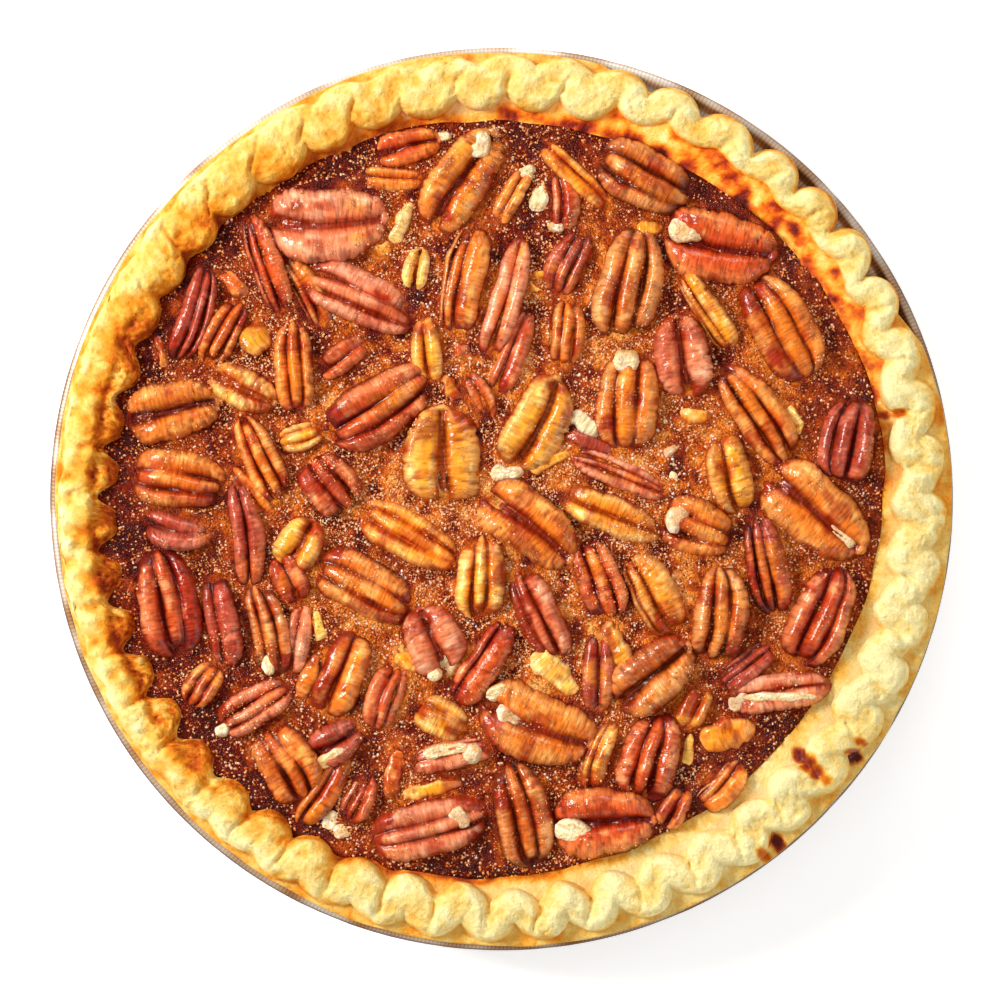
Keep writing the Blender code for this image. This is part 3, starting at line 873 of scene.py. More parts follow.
def filling_height(x, y, nuts):
    """Height of the baked surface: crusted lumps, and syrup drawn up against each nut."""
    points = in_plan(x, y)
    near = nearest_nut(x, y, nuts)
    drawn_up = 0.9 * np.exp(-np.maximum(near, 0.0) / 1.1)
    lumps = 0.35 * layered(points, 6.0, 3, 41) + 0.35 * clumps(points)
    blisters = 0.30 * np.maximum(0.0, 0.55 - cell_distance(points, 1.5, 43))
    return filling_level(x, y) + drawn_up + lumps + blisters


def filling_colour(x, y, near):
    """Maroon at the margin, toffee brown and sugary towards the middle."""
    points = in_plan(x, y)
    distance = np.hypot(x, y)
    middle = ease(distance, 88.0, 40.0)
    amount = 0.15 + 0.20 * middle + 0.45 * layered(points, 9.0, 3, 47) + 0.26 * layered(points, 1.6, 2, 53)
    amount = amount + (0.25 + 0.35 * middle) * clumps(points) + 0.15 * ease(x, 40.0, 90.0)
    amount = amount + 0.12 * np.exp(-np.maximum(near, 0.0) / 1.6) - 0.18 * ease(distance, 86.0, 94.0)
    return ramp(amount, FILLING_TINTS)


def disc_grid(count):
    """Even grid over the unit disc: azimuth in degrees and share of the radius."""
    side = np.linspace(-1.0, 1.0, count)
    a, b = np.meshgrid(side, side, indexing="ij")
    share = np.maximum(np.abs(a), np.abs(b))
    wide = np.abs(a) > np.abs(b)
    safe_a = np.where(np.abs(a) < 1e-9, 1.0, a)
    safe_b = np.where(np.abs(b) < 1e-9, 1.0, b)
    angle = np.where(wide, 45.0 * b / safe_a, 90.0 - 45.0 * a / safe_b)
    angle = angle + np.where(wide, np.where(a < 0.0, 180.0, 0.0), np.where(b < 0.0, 180.0, 0.0))
    return angle % 360.0, share


def square_border(count):
    """Point numbers round the edge of a square grid, counter-clockwise."""
    run = np.arange(count - 1)
    last = count - 1
    return np.concatenate([
        run * count,
        last * count + run,
        (last - run) * count + last,
        last - run,
    ])


def make_filling(material, nuts):
    azimuth, share = disc_grid(FILLING_GRID)
    x, y, _ = np.moveaxis(around(azimuth, share * (filling_radius(azimuth) + 0.9)), -1, 0)
    height = filling_height(x, y, nuts) - 0.25 * ease(share, 0.985, 1.0)
    points = np.stack([x, y, height], -1).reshape(-1, 3)
    colour = coloured(filling_colour(x, y, nearest_nut(x, y, nuts)), 1.0)

    border = square_border(FILLING_GRID)
    low = points[border] * np.array([FILLING_TAPER, FILLING_TAPER, 0.0]) + np.array([0.0, 0.0, FILLING_FLOOR])
    centre = np.array([[0.0, 0.0, FILLING_FLOOR]])
    count = len(points)
    ring = np.arange(len(border))
    following = np.roll(ring, -1)
    faces = [
        grid_faces(FILLING_GRID, FILLING_GRID, wrap=False),
        np.stack([border[following], border[ring], count + ring, count + following], -1),
        fan_faces(count + ring, count + len(border), flip=True),
    ]
    dark = np.tile(np.append(linear(UNSEEN_FILLING), 1.0), (len(low) + 1, 1))
    shape = Shape()
    shape.add(np.concatenate([points, low, centre]), faces, np.concatenate([colour, dark]))
    filling = shape.build("baked_filling", material)
    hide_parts("filling")


# ---------------------------------------------------------------- bubbles and sugar


def crystal(sides):
    """Closed little double pyramid of unit radius, with its faces."""
    ring = around(np.arange(sides) * 360.0 / sides, 1.0)
    points = np.concatenate([ring, [[0.0, 0.0, 0.8], [0.0, 0.0, -0.8]]])
    corners = np.arange(sides)
    return points, np.concatenate([fan_faces(corners, sides), fan_faces(corners, sides + 1, flip=True)])


def scatter(name, material, places, sizes, tints, sides, rng):
    """One piece of many little crystals, turned at random about the vertical."""
    unit, faces = crystal(sides)
    turn = rng.uniform(0.0, 2.0 * np.pi, len(places))[:, None]
    squash = rng.uniform(0.75, 1.25, len(places))[:, None]
    flat_x = unit[:, 0] * np.cos(turn) - unit[:, 1] * np.sin(turn)
    flat_y = unit[:, 0] * np.sin(turn) + unit[:, 1] * np.cos(turn)
    offsets = np.stack([flat_x * squash, flat_y / squash, unit[:, 2] + 0.0 * flat_x], -1)
    points = places[:, None] + sizes[:, None, None] * offsets
    starts = np.arange(len(places))[:, None, None] * len(unit)
    shape = Shape()
    colour = np.repeat(coloured(tints, 1.0), len(unit), axis=0)
    shape.add(points, [(faces[None] + starts).reshape(-1, 3)], colour)
    shape.build(name, material)


def make_bubbles(material, nuts):
    """Tiny set bubbles of syrup over the open filling, crowded on its clumps."""
    rng = np.random.default_rng(7)
    azimuth = rng.uniform(0.0, 360.0, BUBBLES * 4)
    radius = np.sqrt(rng.uniform(0.0, 1.0, BUBBLES * 4)) * (filling_radius(azimuth) + 0.8)
    plan = around(azimuth, radius)
    plan = plan[nearest_nut(plan[:, 0], plan[:, 1], nuts) > 0.05]
    crowding = clumps(plan) + 0.55 * rng.normal(size=len(plan))
    x, y, _ = plan[np.argsort(-crowding)[:BUBBLES]].T
    sizes = 0.16 + 0.32 * rng.uniform(0.0, 1.0, len(x)) ** 2.0
    places = np.stack([x, y, filling_height(x, y, nuts) + 0.1 * sizes], -1)
    sugary = ease(np.hypot(x, y), 88.0, 30.0)
    # painted highlight: the palest bubbles stand in for glints
    tints = ramp(rng.uniform(0.0, 1.0, len(x)) ** 1.3 + 0.2 * sugary, BUBBLE_TINTS_AND_GLINTS)
    scatter("syrup_bubbles", material, places, sizes, tints, 5, rng)


def make_grains(material, nuts, tops):
    """Grains of sugar, which lie in drifts on the nuts and against their edges."""
    rng = np.random.default_rng(11)
    chosen = tops[rng.integers(0, len(tops), GRAINS * 3)]
    drifts = layered(chosen, 9.0, 2, 87) + 0.12 * rng.normal(size=len(chosen))
    on_nuts = chosen[np.argsort(-drifts)[: GRAINS // 3]]
    on_nuts[:, :2] += rng.normal(0.0, 0.25, (len(on_nuts), 2))
    places = np.concatenate([on_nuts, loose_places(rng, nuts, GRAINS - len(on_nuts))])
    sizes = 0.12 + 0.30 * rng.uniform(0.0, 1.0, len(places)) ** 2.5
    tints = ramp(rng.uniform(0.0, 1.0, len(places)), GRAIN_TINTS)
    scatter("sugar_grains", material, places, sizes, tints, 4, rng)


def loose_places(rng, nuts, count):
    """Places on the filling close to the nuts, denser towards the middle of the pie."""
    turn = rng.uniform(0.0, 2.0 * np.pi, count * 8)
    radius = 95.0 * np.sqrt(rng.uniform(0.0, 1.0, count * 8))
    x, y = radius * np.cos(turn), radius * np.sin(turn)
    near = nearest_nut(x, y, nuts)
    drifts = 0.8 * layered(in_plan(x, y), 8.0, 2, 89) - 0.12 * near - 0.006 * radius
    drifts = np.where(near < -0.3, -9.0, drifts + 0.25 * rng.normal(size=len(x)))
    kept = np.argsort(-drifts)[:count]
    x, y = x[kept], y[kept]
    return np.stack([x, y, filling_height(x, y, nuts) + 0.1], -1)


# ---------------------------------------------------------------- nuts


def half_width(s):
    """Half-width along a nut, as a share of the greatest: one end blunt, one a little pointed."""
    return (1.0 - np.abs(s) ** 3.4) ** 0.5 * (1.0 - 0.12 * s)


def wandering(s, rng, reach):
    """Slow sideways wander along a nut."""
    turn = rng.uniform(0.0, 2.0 * np.pi, 2)
    return reach * (np.sin(2.2 * s + turn[0]) + 0.5 * np.sin(5.1 * s + turn[1]))


def ridge(q, middle, reach):
    """Height across one rounded ridge of a nut, as a share of its crest."""
    return np.sqrt(1.0 - np.clip(np.abs(q - middle) / reach, 0.0, 1.0) ** 2.4)


def closing(s, end):
    """Height along a ridge that rounds off at its ends."""
    return np.sqrt(1.0 - np.clip(np.abs(s) / end, 0.0, 1.0) ** 4)


def fingers(s, q, shares, levels, rng):
    """Rounded ridges side by side, whose grooves widen towards the blunt end."""
    edges = np.cumsum([0.0] + list(shares)) * 2.0 / sum(shares) - 1.0
    splay = 0.08 + 0.20 * rng.uniform() * ease(-s, -0.5, 0.9)
    height = 0.0 * s * q
    for i, level in enumerate(levels):
        middle = (edges[i] + edges[i + 1]) / 2 + wandering(s, rng, 0.04)
        reach = (edges[i + 1] - edges[i]) / 2 * (1.12 - splay)
        end = 0.86 + 0.12 * rng.uniform()
        own = level * (1.0 + 0.08 * rng.normal() + 0.08 * s * rng.normal()) * ridge(q, middle, reach)
        height = np.maximum(height, own * closing(s - 0.07 * rng.normal(), end))
    return height


def back_relief(s, q, rng):
    """Rounded side of a half: three ridges between two deep grooves."""
    side = rng.uniform(0.28, 0.40)
    middle = rng.uniform(0.24, 0.34)
    levels = (rng.uniform(0.8, 0.95), 1.0, rng.uniform(0.72, 0.9))
    height = fingers(s, q, (side, middle, 1.0 - side - middle), levels, rng)
    return height, 0.35 + 0.65 * ease(np.abs(q), 0.2, 0.7), 0.5


def face_relief(s, q, rng):
    """Flat side of a half: two folded lobes with a narrow channel between them."""
    sway = wandering(s, rng, 0.035)
    gap = 0.05 + 0.12 * ease(-s, 0.1, 0.95) + 0.03 * rng.uniform()
    reach = (1.0 - gap) / 2 * 1.03
    left = ridge(q, (1.0 + gap) / 2 + sway, reach) * closing(s - 0.03, 0.98)
    right = ridge(q, sway - (1.0 + gap) / 2, reach) * closing(s + 0.02, 0.97)
    channel = 0.42 * ridge(q, sway, 0.6 * gap) * ease(s, -0.8, -0.5)
    bridge = 0.75 * ridge(q, sway, 0.5) * ease(s, 0.76, 0.94)
    height = np.maximum(np.maximum(left, rng.uniform(0.82, 0.96) * right), np.maximum(bridge, channel))
    return height, 0.6 + 0.5 * ease(np.abs(q - sway), 0.1, 0.5), 0.9


def side_relief(s, q, rng):
    """A half on its edge: one long lobe, with one or two slighter ones beside it."""
    wide = 0.54 + 0.07 * rng.normal()
    if rng.uniform() < 0.4:
        height = fingers(s, q, (wide, 0.26, 0.74 - wide), (1.0, 0.74, 0.55), rng)
    else:
        height = fingers(s, q, (wide, 1.0 - wide), (1.0, 0.76), rng)
    return height, 0.5 + 0.6 * ease(-q, -0.2, 0.6), 0.7


def chip_relief(s, q, rng):
    """Broken piece: a lumpy wedge."""
    height = ridge(q, 0.3 * rng.normal(), 1.3) * (0.85 + 0.3 * s * rng.normal())
    return np.clip(height, 0.2, 1.0) * (1.0 - np.abs(q) ** 6) ** 0.5, 0.4 + 0.0 * s * q, 0.3


RELIEFS = {"back": back_relief, "face": face_relief, "side": side_relief, "chip": chip_relief}


def nut_grid(rows, top):
    """Station along the nut, place across it and how far under, for every point of its grid."""
    s = -np.cos(np.linspace(0.0, np.pi, rows + 2)[1:-1])
    s = np.sign(s) * np.abs(s) ** 0.85
    even = np.linspace(1.0, -1.0, top)
    below = np.linspace(0.0, np.pi, NUT_UNDER + 2)[1:-1]
    q = np.concatenate([0.6 * even + 0.4 * np.sin(even * np.pi / 2), -np.cos(below)])
    depth = np.concatenate([np.zeros(top), np.sin(below)])
    return s[:, None], q[None, :], depth[None, :]


def creased(own, q, number):
    """Creases across a nut, from 0 to 1: each has its own strength, and they fan out a little."""
    fanned = own[..., 0] * (1.0 - 0.22 * np.abs(q)) / 1.9
    fanned = fanned + 0.50 * noise(own, 3.5, 61) + 0.25 * noise(own, 1.3, 67)
    nearest = np.rint(fanned).astype(np.int64)
    strength = scramble(nearest, np.where(q < 0.0, 1, 0), number, 69)
    return (1.0 - np.abs(np.sin(np.pi * fanned)) ** 0.6) * (0.15 + 1.0 * strength**1.5)


def nut_skin(nut, number, grid, rng):
    """Points of a nut's skin and their places on it, the height of its ridges, and its hollows."""
    s, q, depth = grid
    height, ribbing, rib_depth = RELIEFS[nut.kind](s, q, rng)
    outline = half_width(s) * nut.width / 2
    own = np.stack([s * nut.length / 2 + 0.0 * q, outline * q, 0.0 * s * q + number * 37.0], -1)
    creases = creased(own, q + 0.0 * s, number) * ribbing
    swell = np.sqrt(1.0 - np.abs(s) ** 3.8)
    cell, wave, lump = RAGGED if nut.kind == "chip" else EVEN
    lumps = lump * layered(own, cell, 3, 71) + 0.12 * noise(own, 1.0, 77)
    relief = nut.height * swell * (0.12 + 0.88 * height) * (1.0 - np.abs(q) ** 7) ** 0.5
    relief = relief + lumps * swell - rib_depth * creases
    z = np.where(depth > 0.0, -SUNK * depth * swell, relief) - 0.35

    bend = rng.normal() * 0.03 * nut.length * (1.0 - s * s)
    edge = ease(np.abs(q), 0.5, 1.0)
    wobble = 1.0 + wave * noise(own, cell, 73) - 0.08 * creases * edge * rib_depth
    y = outline * q * wobble * (1.0 - 0.14 * depth) + bend
    x = own[..., 0] + 0.4 * noise(own, 4.0, 79)
    tilt = 0.10 * rng.normal()
    z = z + tilt * np.clip(y, -nut.width / 2, nut.width / 2) * (depth == 0.0)
    z = nut.base + np.minimum(z, CRUST_TOP - 0.3 - nut.base)
    plan = nut.centre + x[..., None] * nut.along + y[..., None] * nut.across
    hollows = np.clip(creases + 0.8 * ease(lumps, -0.1, -0.6), 0.0, 1.0)
    return np.concatenate([plan, z[..., None]], -1), own, height + 0.0 * s, hollows


def nut_colour(nut, own, grid, height, hollows, rng):
    """Skin colour: painted shade in the grooves, creases, dents and low parts, syrup stains, and bright
    margins that are partly painted highlight.
    """
    s, q, _ = grid
    skin, dark, pale = (linear(code) for code in TONES[nut.tone])
    other = linear(TONES[rng.choice(list("orghm"))][0])
    seed = int(rng.integers(1000))
    reddish = 0.0 if nut.tone in "wyk" else 1.0
    fading = 0.5 if nut.tone == "m" else 1.0
    shading, bright = (0.6, 1.0) if nut.tone == "w" else (1.0, 1.34)
    colour = blend(skin + 0.0 * own, other, 0.6 * ease(layered(own, 8.0, 3, seed), 0.0, 0.45))
    margin = np.maximum(ease(np.abs(q), 0.35, 0.9), ease(np.abs(s), 0.72, 1.0) + 0.0 * q)
    # partly painted highlight: the margins and random patches are blended towards the pale tone
    pale_and_highlit = 0.60 * margin + 0.8 * ease(layered(own, 2.6, 3, seed + 5), 0.06, 0.40)
    colour = blend(colour, pale, 0.85 * fading * pale_and_highlit)
    stains = ease(layered(own, 5.0, 3, seed + 21), 0.04, 0.32)
    stained = reddish * (0.40 * ease(height, 0.94, 0.6) + 0.62 * stains)
    colour = blend(colour, linear(SYRUP_STAIN), stained)
    # painted shade: the nut is blended towards its dark tone where it is low and in its creases and hollows,
    # with some stain and noise darkening
    shade = 1.4 * ease(height, 0.66, 0.28) + 0.65 * hollows + 0.15 * stains
    shade = shade + 0.5 * layered(own, 0.8, 2, seed + 9)
    colour = blend(colour, dark, shading * shade)
    return bright * colour * (1.0 + 0.25 * layered(own, 3.5, 2, seed + 13))[..., None]


def add_nut(shape, nut, number, rows=NUT_ROWS, top=NUT_TOP):
    """Model a nut as a closed skin over a lengthwise grid, bedded in the filling."""
    rng = np.random.default_rng(1000 + number)
    grid = nut_grid(rows, top)
    points, own, height, hollows = nut_skin(nut, number, grid, rng)
    colour = nut_colour(nut, own, grid, height, hollows, rng)
    sugar = ease(layered(own, 6.0, 2, 83), 0.15, 0.45)

    ends = np.array([points[0].mean(0), points[-1].mean(0)])
    ends[:, :2] += np.outer([-1.0, 1.0], nut.along) * 0.25
    tints = np.concatenate([coloured(colour, sugar), coloured(colour[[0, -1]].mean(1), 0.0)])
    where = np.concatenate([own.reshape(-1, 3), own[[0, -1]].mean(1)])
    faces = skin_faces(rows, top + NUT_UNDER)
    shape.add(np.concatenate([points.reshape(-1, 3), ends]), faces, tints, where)
    return points[:, :top].reshape(-1, 3)


def make_nuts(material, nuts):
    """One piece for each of the larger nuts; gives back the points of their tops."""
    tops = []
    for number, nut in enumerate(nuts, 1):
        shape = Shape()
        tops.append(add_nut(shape, nut, number))
        piece = shape.build(f"nut_{number:02d}", material)
        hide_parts(nut.node)
    return np.concatenate(tops)


def make_small_nuts(material, nuts):
    shape = Shape()
    tops = []
    for number, nut in enumerate(nuts, 101):
        rows = 14 + int(nut.length)
        top = 10 + int(1.2 * nut.width)
        tops.append(add_nut(shape, nut, number, rows, top))
    shape.build("small_nuts", material)
    return np.concatenate(tops)


class Skyline:
    """Greatest height of everything laid so far, on a grid of 1 mm."""

    REACH = 120

    def __init__(self, nuts, tops):
        side = np.arange(-self.REACH, self.REACH + 1.0)
        x, y = np.meshgrid(side, side, indexing="ij")
        self.height = filling_height(x, y, nuts)
        cells = np.rint(tops[:, :2]).astype(int) + self.REACH
        np.maximum.at(self.height, (cells[:, 0], cells[:, 1]), tops[:, 2])

    def at(self, x, y):
        i, j = (int(np.rint(place)) + self.REACH for place in (x, y))
        return self.height[i, j]


def make_cream_bits(material, skyline):
    """Pale scraps of broken kernel."""
    shape = Shape()
    for number, (x, y, heading, length, width) in enumerate(CREAM_BITS, 301):
        heading = heading + 10 * np.random.default_rng(number).normal()
        base = skyline.at(x, y) - 0.9
        height = min(1.6 + 0.12 * width, CRUST_TOP - 0.4 - base)
        add_nut(shape, Nut("chip", x, y, heading, length, width, "w", base, height), number, 18, 14)
    shape.build("kernel_scraps", material)


# ---------------------------------------------------------------- foil tin


def tin_rings():
    """Outline of the foil, from the middle of its base up outside, over the bead and down inside.

    Each ring is a radius, a height, how far it is crimped or fluted, and how brown it is soiled.
    """
    bead_middle = RIM_RADIUS - BEAD
    bead_height = FLANGE_HEIGHT - FOIL / 2
    rings = [
        (BASE_RADIUS - 2.0, 0.0, 0.0, 0.2),
        (BASE_RADIUS - 0.6, 0.15, 0.0, 0.2),
        (BASE_RADIUS + FOIL, 1.2, 0.3, 0.3),
    ]
    for share in (0.15, 0.3, 0.5, 0.7, 0.85, 0.95):
        out = BASE_RADIUS + FOIL + share * (MOUTH_RADIUS - BASE_RADIUS)
        rings.append((out, FLANGE_HEIGHT * share, 0.5, 0.2))
    rings.append((MOUTH_RADIUS + FOIL + 0.6, FLANGE_HEIGHT - FOIL, 0.4, 0.3))
    rings.append((bead_middle - 1.7, FLANGE_HEIGHT - FOIL, 1.0, 0.4))
    for angle in np.arange(-150, 151, 30):
        turn = math.radians(angle)
        soiled = 0.9 if angle in (0, 30, 120, 150) else 0.0
        rings.append((bead_middle + BEAD * math.cos(turn), bead_height + BEAD * math.sin(turn), 0.8, soiled))
    return rings + [
        (bead_middle - 2.0, FLANGE_HEIGHT - 0.1, 0.3, 0.8),
        (bead_middle - 2.6, FLANGE_HEIGHT, 1.0, 0.1),
        (108.0, FLANGE_HEIGHT, 1.0, 0.1),
        (MOUTH_RADIUS, FLANGE_HEIGHT - 0.1, 0.3, 0.2),
        (BASE_RADIUS - 0.3, FOIL + 0.1, 0.0, 0.2),
    ]


def crimped(azimuth, ring, soft):
    """Radius, heights and colours of a ring of the flange or bead, crimped and browned, with painted shade in
    the crimp valleys and towards the lower right.
    """
    radius, height, crimp, soiled = ring
    zigzag = np.where(np.arange(TIN_STEPS) % 2 == 0, 1.0, -1.0)
    # partly painted shade: the rim is darker towards the lower right
    browned = by_azimuth(azimuth, RIM_BROWN_AND_SHADE, 1)
    height = height + TIN_CRIMP * crimp * zigzag * (0.7 + 0.5 * soft)
    # painted shade: every other step, the crimp valleys, is darkened
    amount = (0.33 + soiled) * browned + 0.25 * crimp * (0.5 - 0.5 * zigzag) + 0.3 * soft
    amount = np.clip(amount, 0.0, 1.0)
    return radius, height, coloured(ramp(amount, FOIL_TINTS), 1.0 - amount)


def fluted(azimuth, ring, soft):
    """Radii, height and colours of a ring of the base or wall, fluted and clean, with painted shade in the
    flute hollows.
    """
    radius, height, flute, _ = ring
    fluting = np.cos(np.radians(azimuth * WALL_FLUTES))
    # painted shade: darker in the hollows of the flutes
    tint = ramp(0.5 - 0.5 * fluting + 0.4 * soft, WALL_FLUTE_SHADES)
    return radius + 0.5 * flute * fluting, height, coloured(tint, 1.0)


def make_tin(material):
    azimuth = np.arange(TIN_STEPS) * 360.0 / TIN_STEPS
    soft = noise(around(azimuth, 115.0), 6.0, 83)
    rings = []
    tints = []
    for ring in tin_rings():
        finish = crimped if ring[0] > MOUTH_RADIUS + 1.2 else fluted
        radius, height, tint = finish(azimuth, ring, soft)
        radius = np.minimum(radius + 0.1 * soft * ring[2], RIM_RADIUS)
        rings.append(around(azimuth, radius, np.maximum(height, 0.0)))
        tints.append(tint)

    middle = np.array([[0.0, 0.0, 0.0], [0.0, 0.0, FOIL]])
    plain = np.append(linear(WALL_FLUTE_SHADES[0][1]), 1.0)
    shape = Shape()
    faces = skin_faces(len(rings), TIN_STEPS)
    shape.add(np.concatenate([*rings, middle]), faces, np.concatenate([*tints, [plain, plain]]))
    tin = shape.build("foil_tin", material)
    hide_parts("tin")


# ---------------------------------------------------------------- materials


class Nodes:
    """A material's node tree, with short calls to add to it."""

    def __init__(self, name):
        self.material = bpy.data.materials.new(name)
        self.material.use_nodes = True
        self.tree = self.material.node_tree
        self.shader = self.tree.nodes["Principled BSDF"]

    def add(self, kind, **values):
        """New node; values set its sockets by name, or link them where they are sockets."""
        made = self.tree.nodes.new(kind)
        for name, value in values.items():
            self.put(made.inputs[name.replace("_", " ")], value)
        return made

    def put(self, socket, value):
        if isinstance(value, bpy.types.NodeSocket):
            self.tree.links.new(value, socket)
        else:
            socket.default_value = value

    def set(self, **values):
        """Set or link the shader's own sockets."""
        for name, value in values.items():
            self.put(self.shader.inputs[name.replace("_", " ")], value)

    def attribute(self, name):
        made = self.tree.nodes.new("ShaderNodeAttribute")
        made.attribute_name = name
        return made

    def noise(self, vector, scale, detail):
        made = self.add("ShaderNodeTexNoise", Vector=vector, Scale=scale, Detail=detail)
        return made.outputs["Fac"]

    def cells(self, vector, scale):
        made = self.add("ShaderNodeTexVoronoi", Vector=vector, Scale=scale)
        return made.outputs["Distance"]

    def spread(self, value, low, high, to_low, to_high):
        """value from low..high turned into to_low..to_high."""
        made = self.tree.nodes.new("ShaderNodeMapRange")
        for i, number in enumerate((value, low, high, to_low, to_high)):
            self.put(made.inputs[i], number)
        return made.outputs["Result"]

    def multiplied(self, first, second):
        made = self.tree.nodes.new("ShaderNodeMath")
        made.operation = "MULTIPLY"
        self.put(made.inputs[0], first)
        self.put(made.inputs[1], second)
        return made.outputs["Value"]

    def mixed(self, share, first, second):
        """Colour between two, by a share that varies over the surface."""
        made = self.tree.nodes.new("ShaderNodeMix")
        made.data_type = "RGBA"
        for i, value in ((0, share), (6, first), (7, second)):
            self.put(made.inputs[i], value)
        return made.outputs[2]

    def stretched(self, vector, scale):
        made = self.tree.nodes.new("ShaderNodeMapping")
        self.put(made.inputs["Vector"], vector)
        made.inputs["Scale"].default_value = scale
        return made.outputs["Vector"]

    def bumped(self, height, distance, strength=1.0, below=None):
        """Normal from a height; distance is in metres, and below is a normal to build on."""
        made = self.add("ShaderNodeBump", Height=height, Distance=distance, Strength=strength)
        if below is not None:
            self.put(made.inputs["Normal"], below)
        return made.outputs["Normal"]


class PieceNodes(Nodes):
    """Nodes of a piece's material, which read its own coordinates, colours and gloss."""

    def __init__(self, name):
        super().__init__(name)
        tint = self.attribute("tint").outputs
        self.colour = tint["Color"]
        self.gloss = tint["Alpha"]
        self.own = self.attribute("own").outputs["Vector"]

    def tinted(self, factor):
        """The piece's colours times a number that varies over the surface."""
        made = self.tree.nodes.new("ShaderNodeVectorMath")
        made.operation = "SCALE"
        self.put(made.inputs[0], self.colour)
        self.put(made.inputs["Scale"], factor)
        return made.outputs["Vector"]


def pastry_material():
    n = PieceNodes("baked_pastry")
    n.set(Base_Color=n.tinted(n.spread(n.noise(n.own, 1.6, 3.0), 0.3, 0.7, 0.88, 1.08)))
    n.set(Roughness=n.spread(n.gloss, 0.0, 1.0, 0.75, 0.3), Specular_IOR_Level=0.2)
    pores = n.bumped(n.cells(n.own, 1.1), 0.0003, 0.5)
    n.set(Normal=n.bumped(n.noise(n.own, 2.6, 3.0), 0.0004, 0.7, pores))
    n.set(Coat_Weight=n.spread(n.gloss, 0.35, 1.0, 0.0, 0.8), Coat_Roughness=0.15)
    return n.material


def filling_material():
    n = PieceNodes("syrup_filling")
    grains = n.add("ShaderNodeTexVoronoi", Vector=n.own, Scale=2.1)
    n.set(Base_Color=n.tinted(n.spread(grains.outputs["Color"], 0.1, 0.9, 0.45, 1.7)))
    n.set(Roughness=n.spread(n.noise(n.own, 0.7, 2.0), 0.3, 0.7, 0.2, 0.45), Specular_IOR_Level=0.08)
    domes = n.bumped(n.spread(grains.outputs["Distance"], 0.0, 0.8, 1.0, 0.0), 0.0004, 0.9)
    n.set(Normal=domes, Coat_Normal=domes, Coat_Weight=0.35, Coat_Roughness=0.12)
    return n.material


def crystal_material(name, shine):
    """Sugar or set syrup; it is warm even where it shines."""
    n = PieceNodes(name)
    cloudy = n.noise(n.own, 1.3, 2.0)
    n.set(Base_Color=n.tinted(n.spread(cloudy, 0.3, 0.7, 0.8, 1.25)))
    n.set(Roughness=n.spread(cloudy, 0.3, 0.7, 0.12, 0.3))
    n.set(Specular_IOR_Level=shine, Specular_Tint=CRYSTAL_SHINE)
    return n.material


def nut_material():
    n = PieceNodes("glazed_pecan")
    fibres = n.noise(n.stretched(n.own, (1.2, 0.28, 1.0)), 1.0, 3.0)
    skin = n.tinted(n.spread(fibres, 0.32, 0.62, 0.70, 1.18))
    sugar = n.multiplied(n.spread(n.cells(n.own, 1.1), 0.18, 0.32, 1.0, 0.0), n.gloss)
    n.set(Base_Color=n.mixed(sugar, skin, SUGAR_DOT))
    glaze = n.noise(n.own, 1.0, 3.0)
    n.set(Roughness=n.spread(glaze, 0.3, 0.7, 0.3, 0.5), Specular_IOR_Level=0.1)
    n.set(Normal=n.bumped(sugar, 0.0003, 0.8, n.bumped(fibres, 0.0007, 0.9)))
    n.set(Coat_Normal=n.bumped(glaze, 0.0003, 0.7), Coat_Weight=1.0, Coat_Roughness=0.14)
    return n.material


def kernel_material():
    n = PieceNodes("broken_kernel")
    crumb = n.noise(n.own, 1.4, 5.0)
    flecks = n.spread(n.noise(n.stretched(n.own, (0.5, 1.1, 1.0)), 1.0, 4.0), 0.44, 0.62, 0.0, 0.8)
    n.set(Base_Color=n.mixed(flecks, n.tinted(n.spread(crumb, 0.3, 0.7, 0.95, 1.4)), KERNEL_FLECK))
    n.set(Roughness=n.spread(crumb, 0.3, 0.7, 0.45, 0.7), Normal=n.bumped(crumb, 0.0008, 1.0))
    return n.material


def foil_material():
    n = PieceNodes("pressed_foil")
    smear = n.noise(n.stretched(n.own, (0.06, 0.06, 0.4)), 1.0, 3.0)
    n.set(Base_Color=n.tinted(n.spread(smear, 0.3, 0.7, 0.85, 1.05)))
    n.set(Metallic=n.spread(n.gloss, 0.0, 1.0, 0.0, 0.5), Specular_IOR_Level=0.25)
    n.set(Roughness=n.spread(n.noise(n.own, 0.25, 3.0), 0.3, 0.7, 0.32, 0.5))
    n.set(Normal=n.bumped(n.noise(n.own, 0.35, 3.0), 0.0004, 0.35))
    return n.material


def floor_material():
    n = Nodes("pale_floor")
    n.set(Base_Color=(0.93, 0.93, 0.93, 1.0), Roughness=0.9, Specular_IOR_Level=0.1)
    n.set(Emission_Color=(1.0, 1.0, 1.0, 1.0), Emission_Strength=FLOOR_GLOW)
    return n.material


# ---------------------------------------------------------------- stage


def make_floor():
    mesh = bpy.data.meshes.new("floor")
    half = FLOOR_WIDTH / 2
    corners = [(-half, -half, 0.0), (half, -half, 0.0), (half, half, 0.0), (-half, half, 0.0)]
    mesh.from_pydata(corners, [], [(0, 1, 2, 3)])
    mesh.materials.append(floor_material())
    floor = bpy.data.objects.new("floor", mesh)
    bpy.context.scene.collection.objects.link(floor)


def add_area_light(name, place, size, power):
    """Square light that points at the middle of the pie."""
    data = bpy.data.lights.new(name, "AREA")
    data.size = size
    data.energy = power
    data.color = LAMP_COLOUR
    lamp = bpy.data.objects.new(name, data)
    lamp.location = place
    lamp.rotation_euler = (-Vector(place)).to_track_quat("-Z", "Y").to_euler()
    bpy.context.scene.collection.objects.link(lamp)
    return lamp


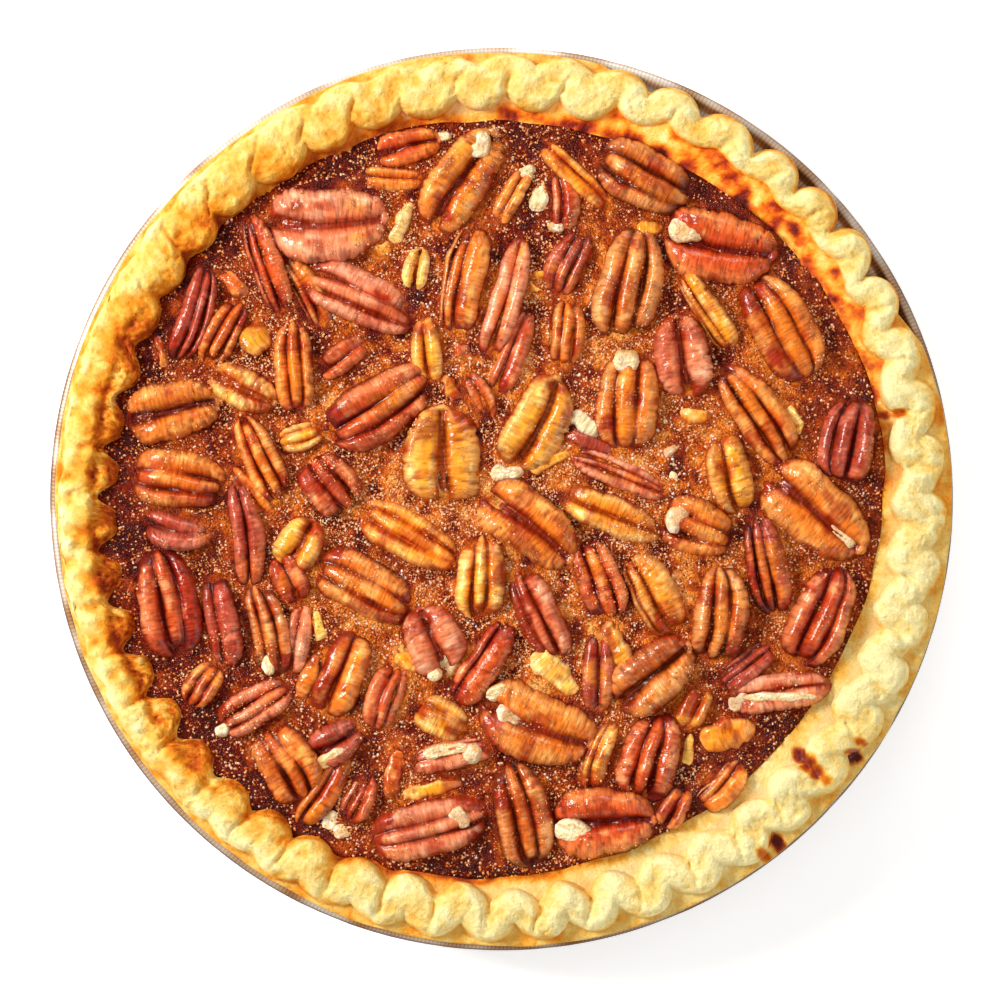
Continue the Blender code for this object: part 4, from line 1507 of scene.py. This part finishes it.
def make_world():
    """Surroundings that are bright low down and dark overhead, where level syrup mirrors them."""
    world = bpy.data.worlds.new("studio")
    world.use_nodes = True
    tree = world.node_tree
    direction = tree.nodes.new("ShaderNodeTexCoord").outputs["Generated"]
    parts = tree.nodes.new("ShaderNodeSeparateXYZ")
    tree.links.new(direction, parts.inputs["Vector"])
    fade = tree.nodes.new("ShaderNodeMapRange")
    tree.links.new(parts.outputs["Z"], fade.inputs["Value"])
    for name, number in zip(("From Min", "From Max", "To Min", "To Max"), (0.15, 0.75, 0.6, 0.02)):
        fade.inputs[name].default_value = number
    background = tree.nodes["Background"]
    background.inputs["Color"].default_value = (1.0, 0.95, 0.88, 1.0)
    tree.links.new(fade.outputs["Result"], background.inputs["Strength"])
    bpy.context.scene.world = world


def light_scene():
    make_world()
    add_area_light("key", (-0.80, 0.30, 0.75), 0.36, 13.0)
    add_area_light("back", (0.10, 0.95, 0.60), 0.5, 3.0)
    add_area_light("fill", (0.85, -0.45, 0.65), 0.8, 2.0)
    overhead = add_area_light("overhead", (0.0, 0.0, 1.6), 1.2, 7.7)
    overhead.visible_glossy = False  # it lights the pie evenly and leaves no veil on the syrup
    bpy.context.scene.view_settings.view_transform = "Standard"


def make_camera():
    data = bpy.data.cameras.new("camera")
    data.sensor_width = SENSOR
    data.lens = SENSOR * CAMERA_HEIGHT / VIEW_WIDTH
    data.clip_end = 20.0
    camera = bpy.data.objects.new("camera", data)
    camera.location = (CAMERA_OFFSET[0] * MM, CAMERA_OFFSET[1] * MM, (CAMERA_HEIGHT + FLANGE_HEIGHT) * MM)
    bpy.context.scene.collection.objects.link(camera)
    bpy.context.scene.camera = camera


def main():
    big = larger_nuts()
    small = smaller_nuts()
    nuts = big + small
    make_tin(foil_material())
    make_crust(pastry_material())
    make_filling(filling_material(), nuts)
    skin = nut_material()
    tops = np.concatenate([make_nuts(skin, big), make_small_nuts(skin, small)])
    make_cream_bits(kernel_material(), Skyline(nuts, tops))
    make_bubbles(crystal_material("syrup_bubble", 0.55), nuts)
    make_grains(crystal_material("sugar_grain", 0.3), nuts, tops)
    make_floor()
    light_scene()
    make_camera()


main()
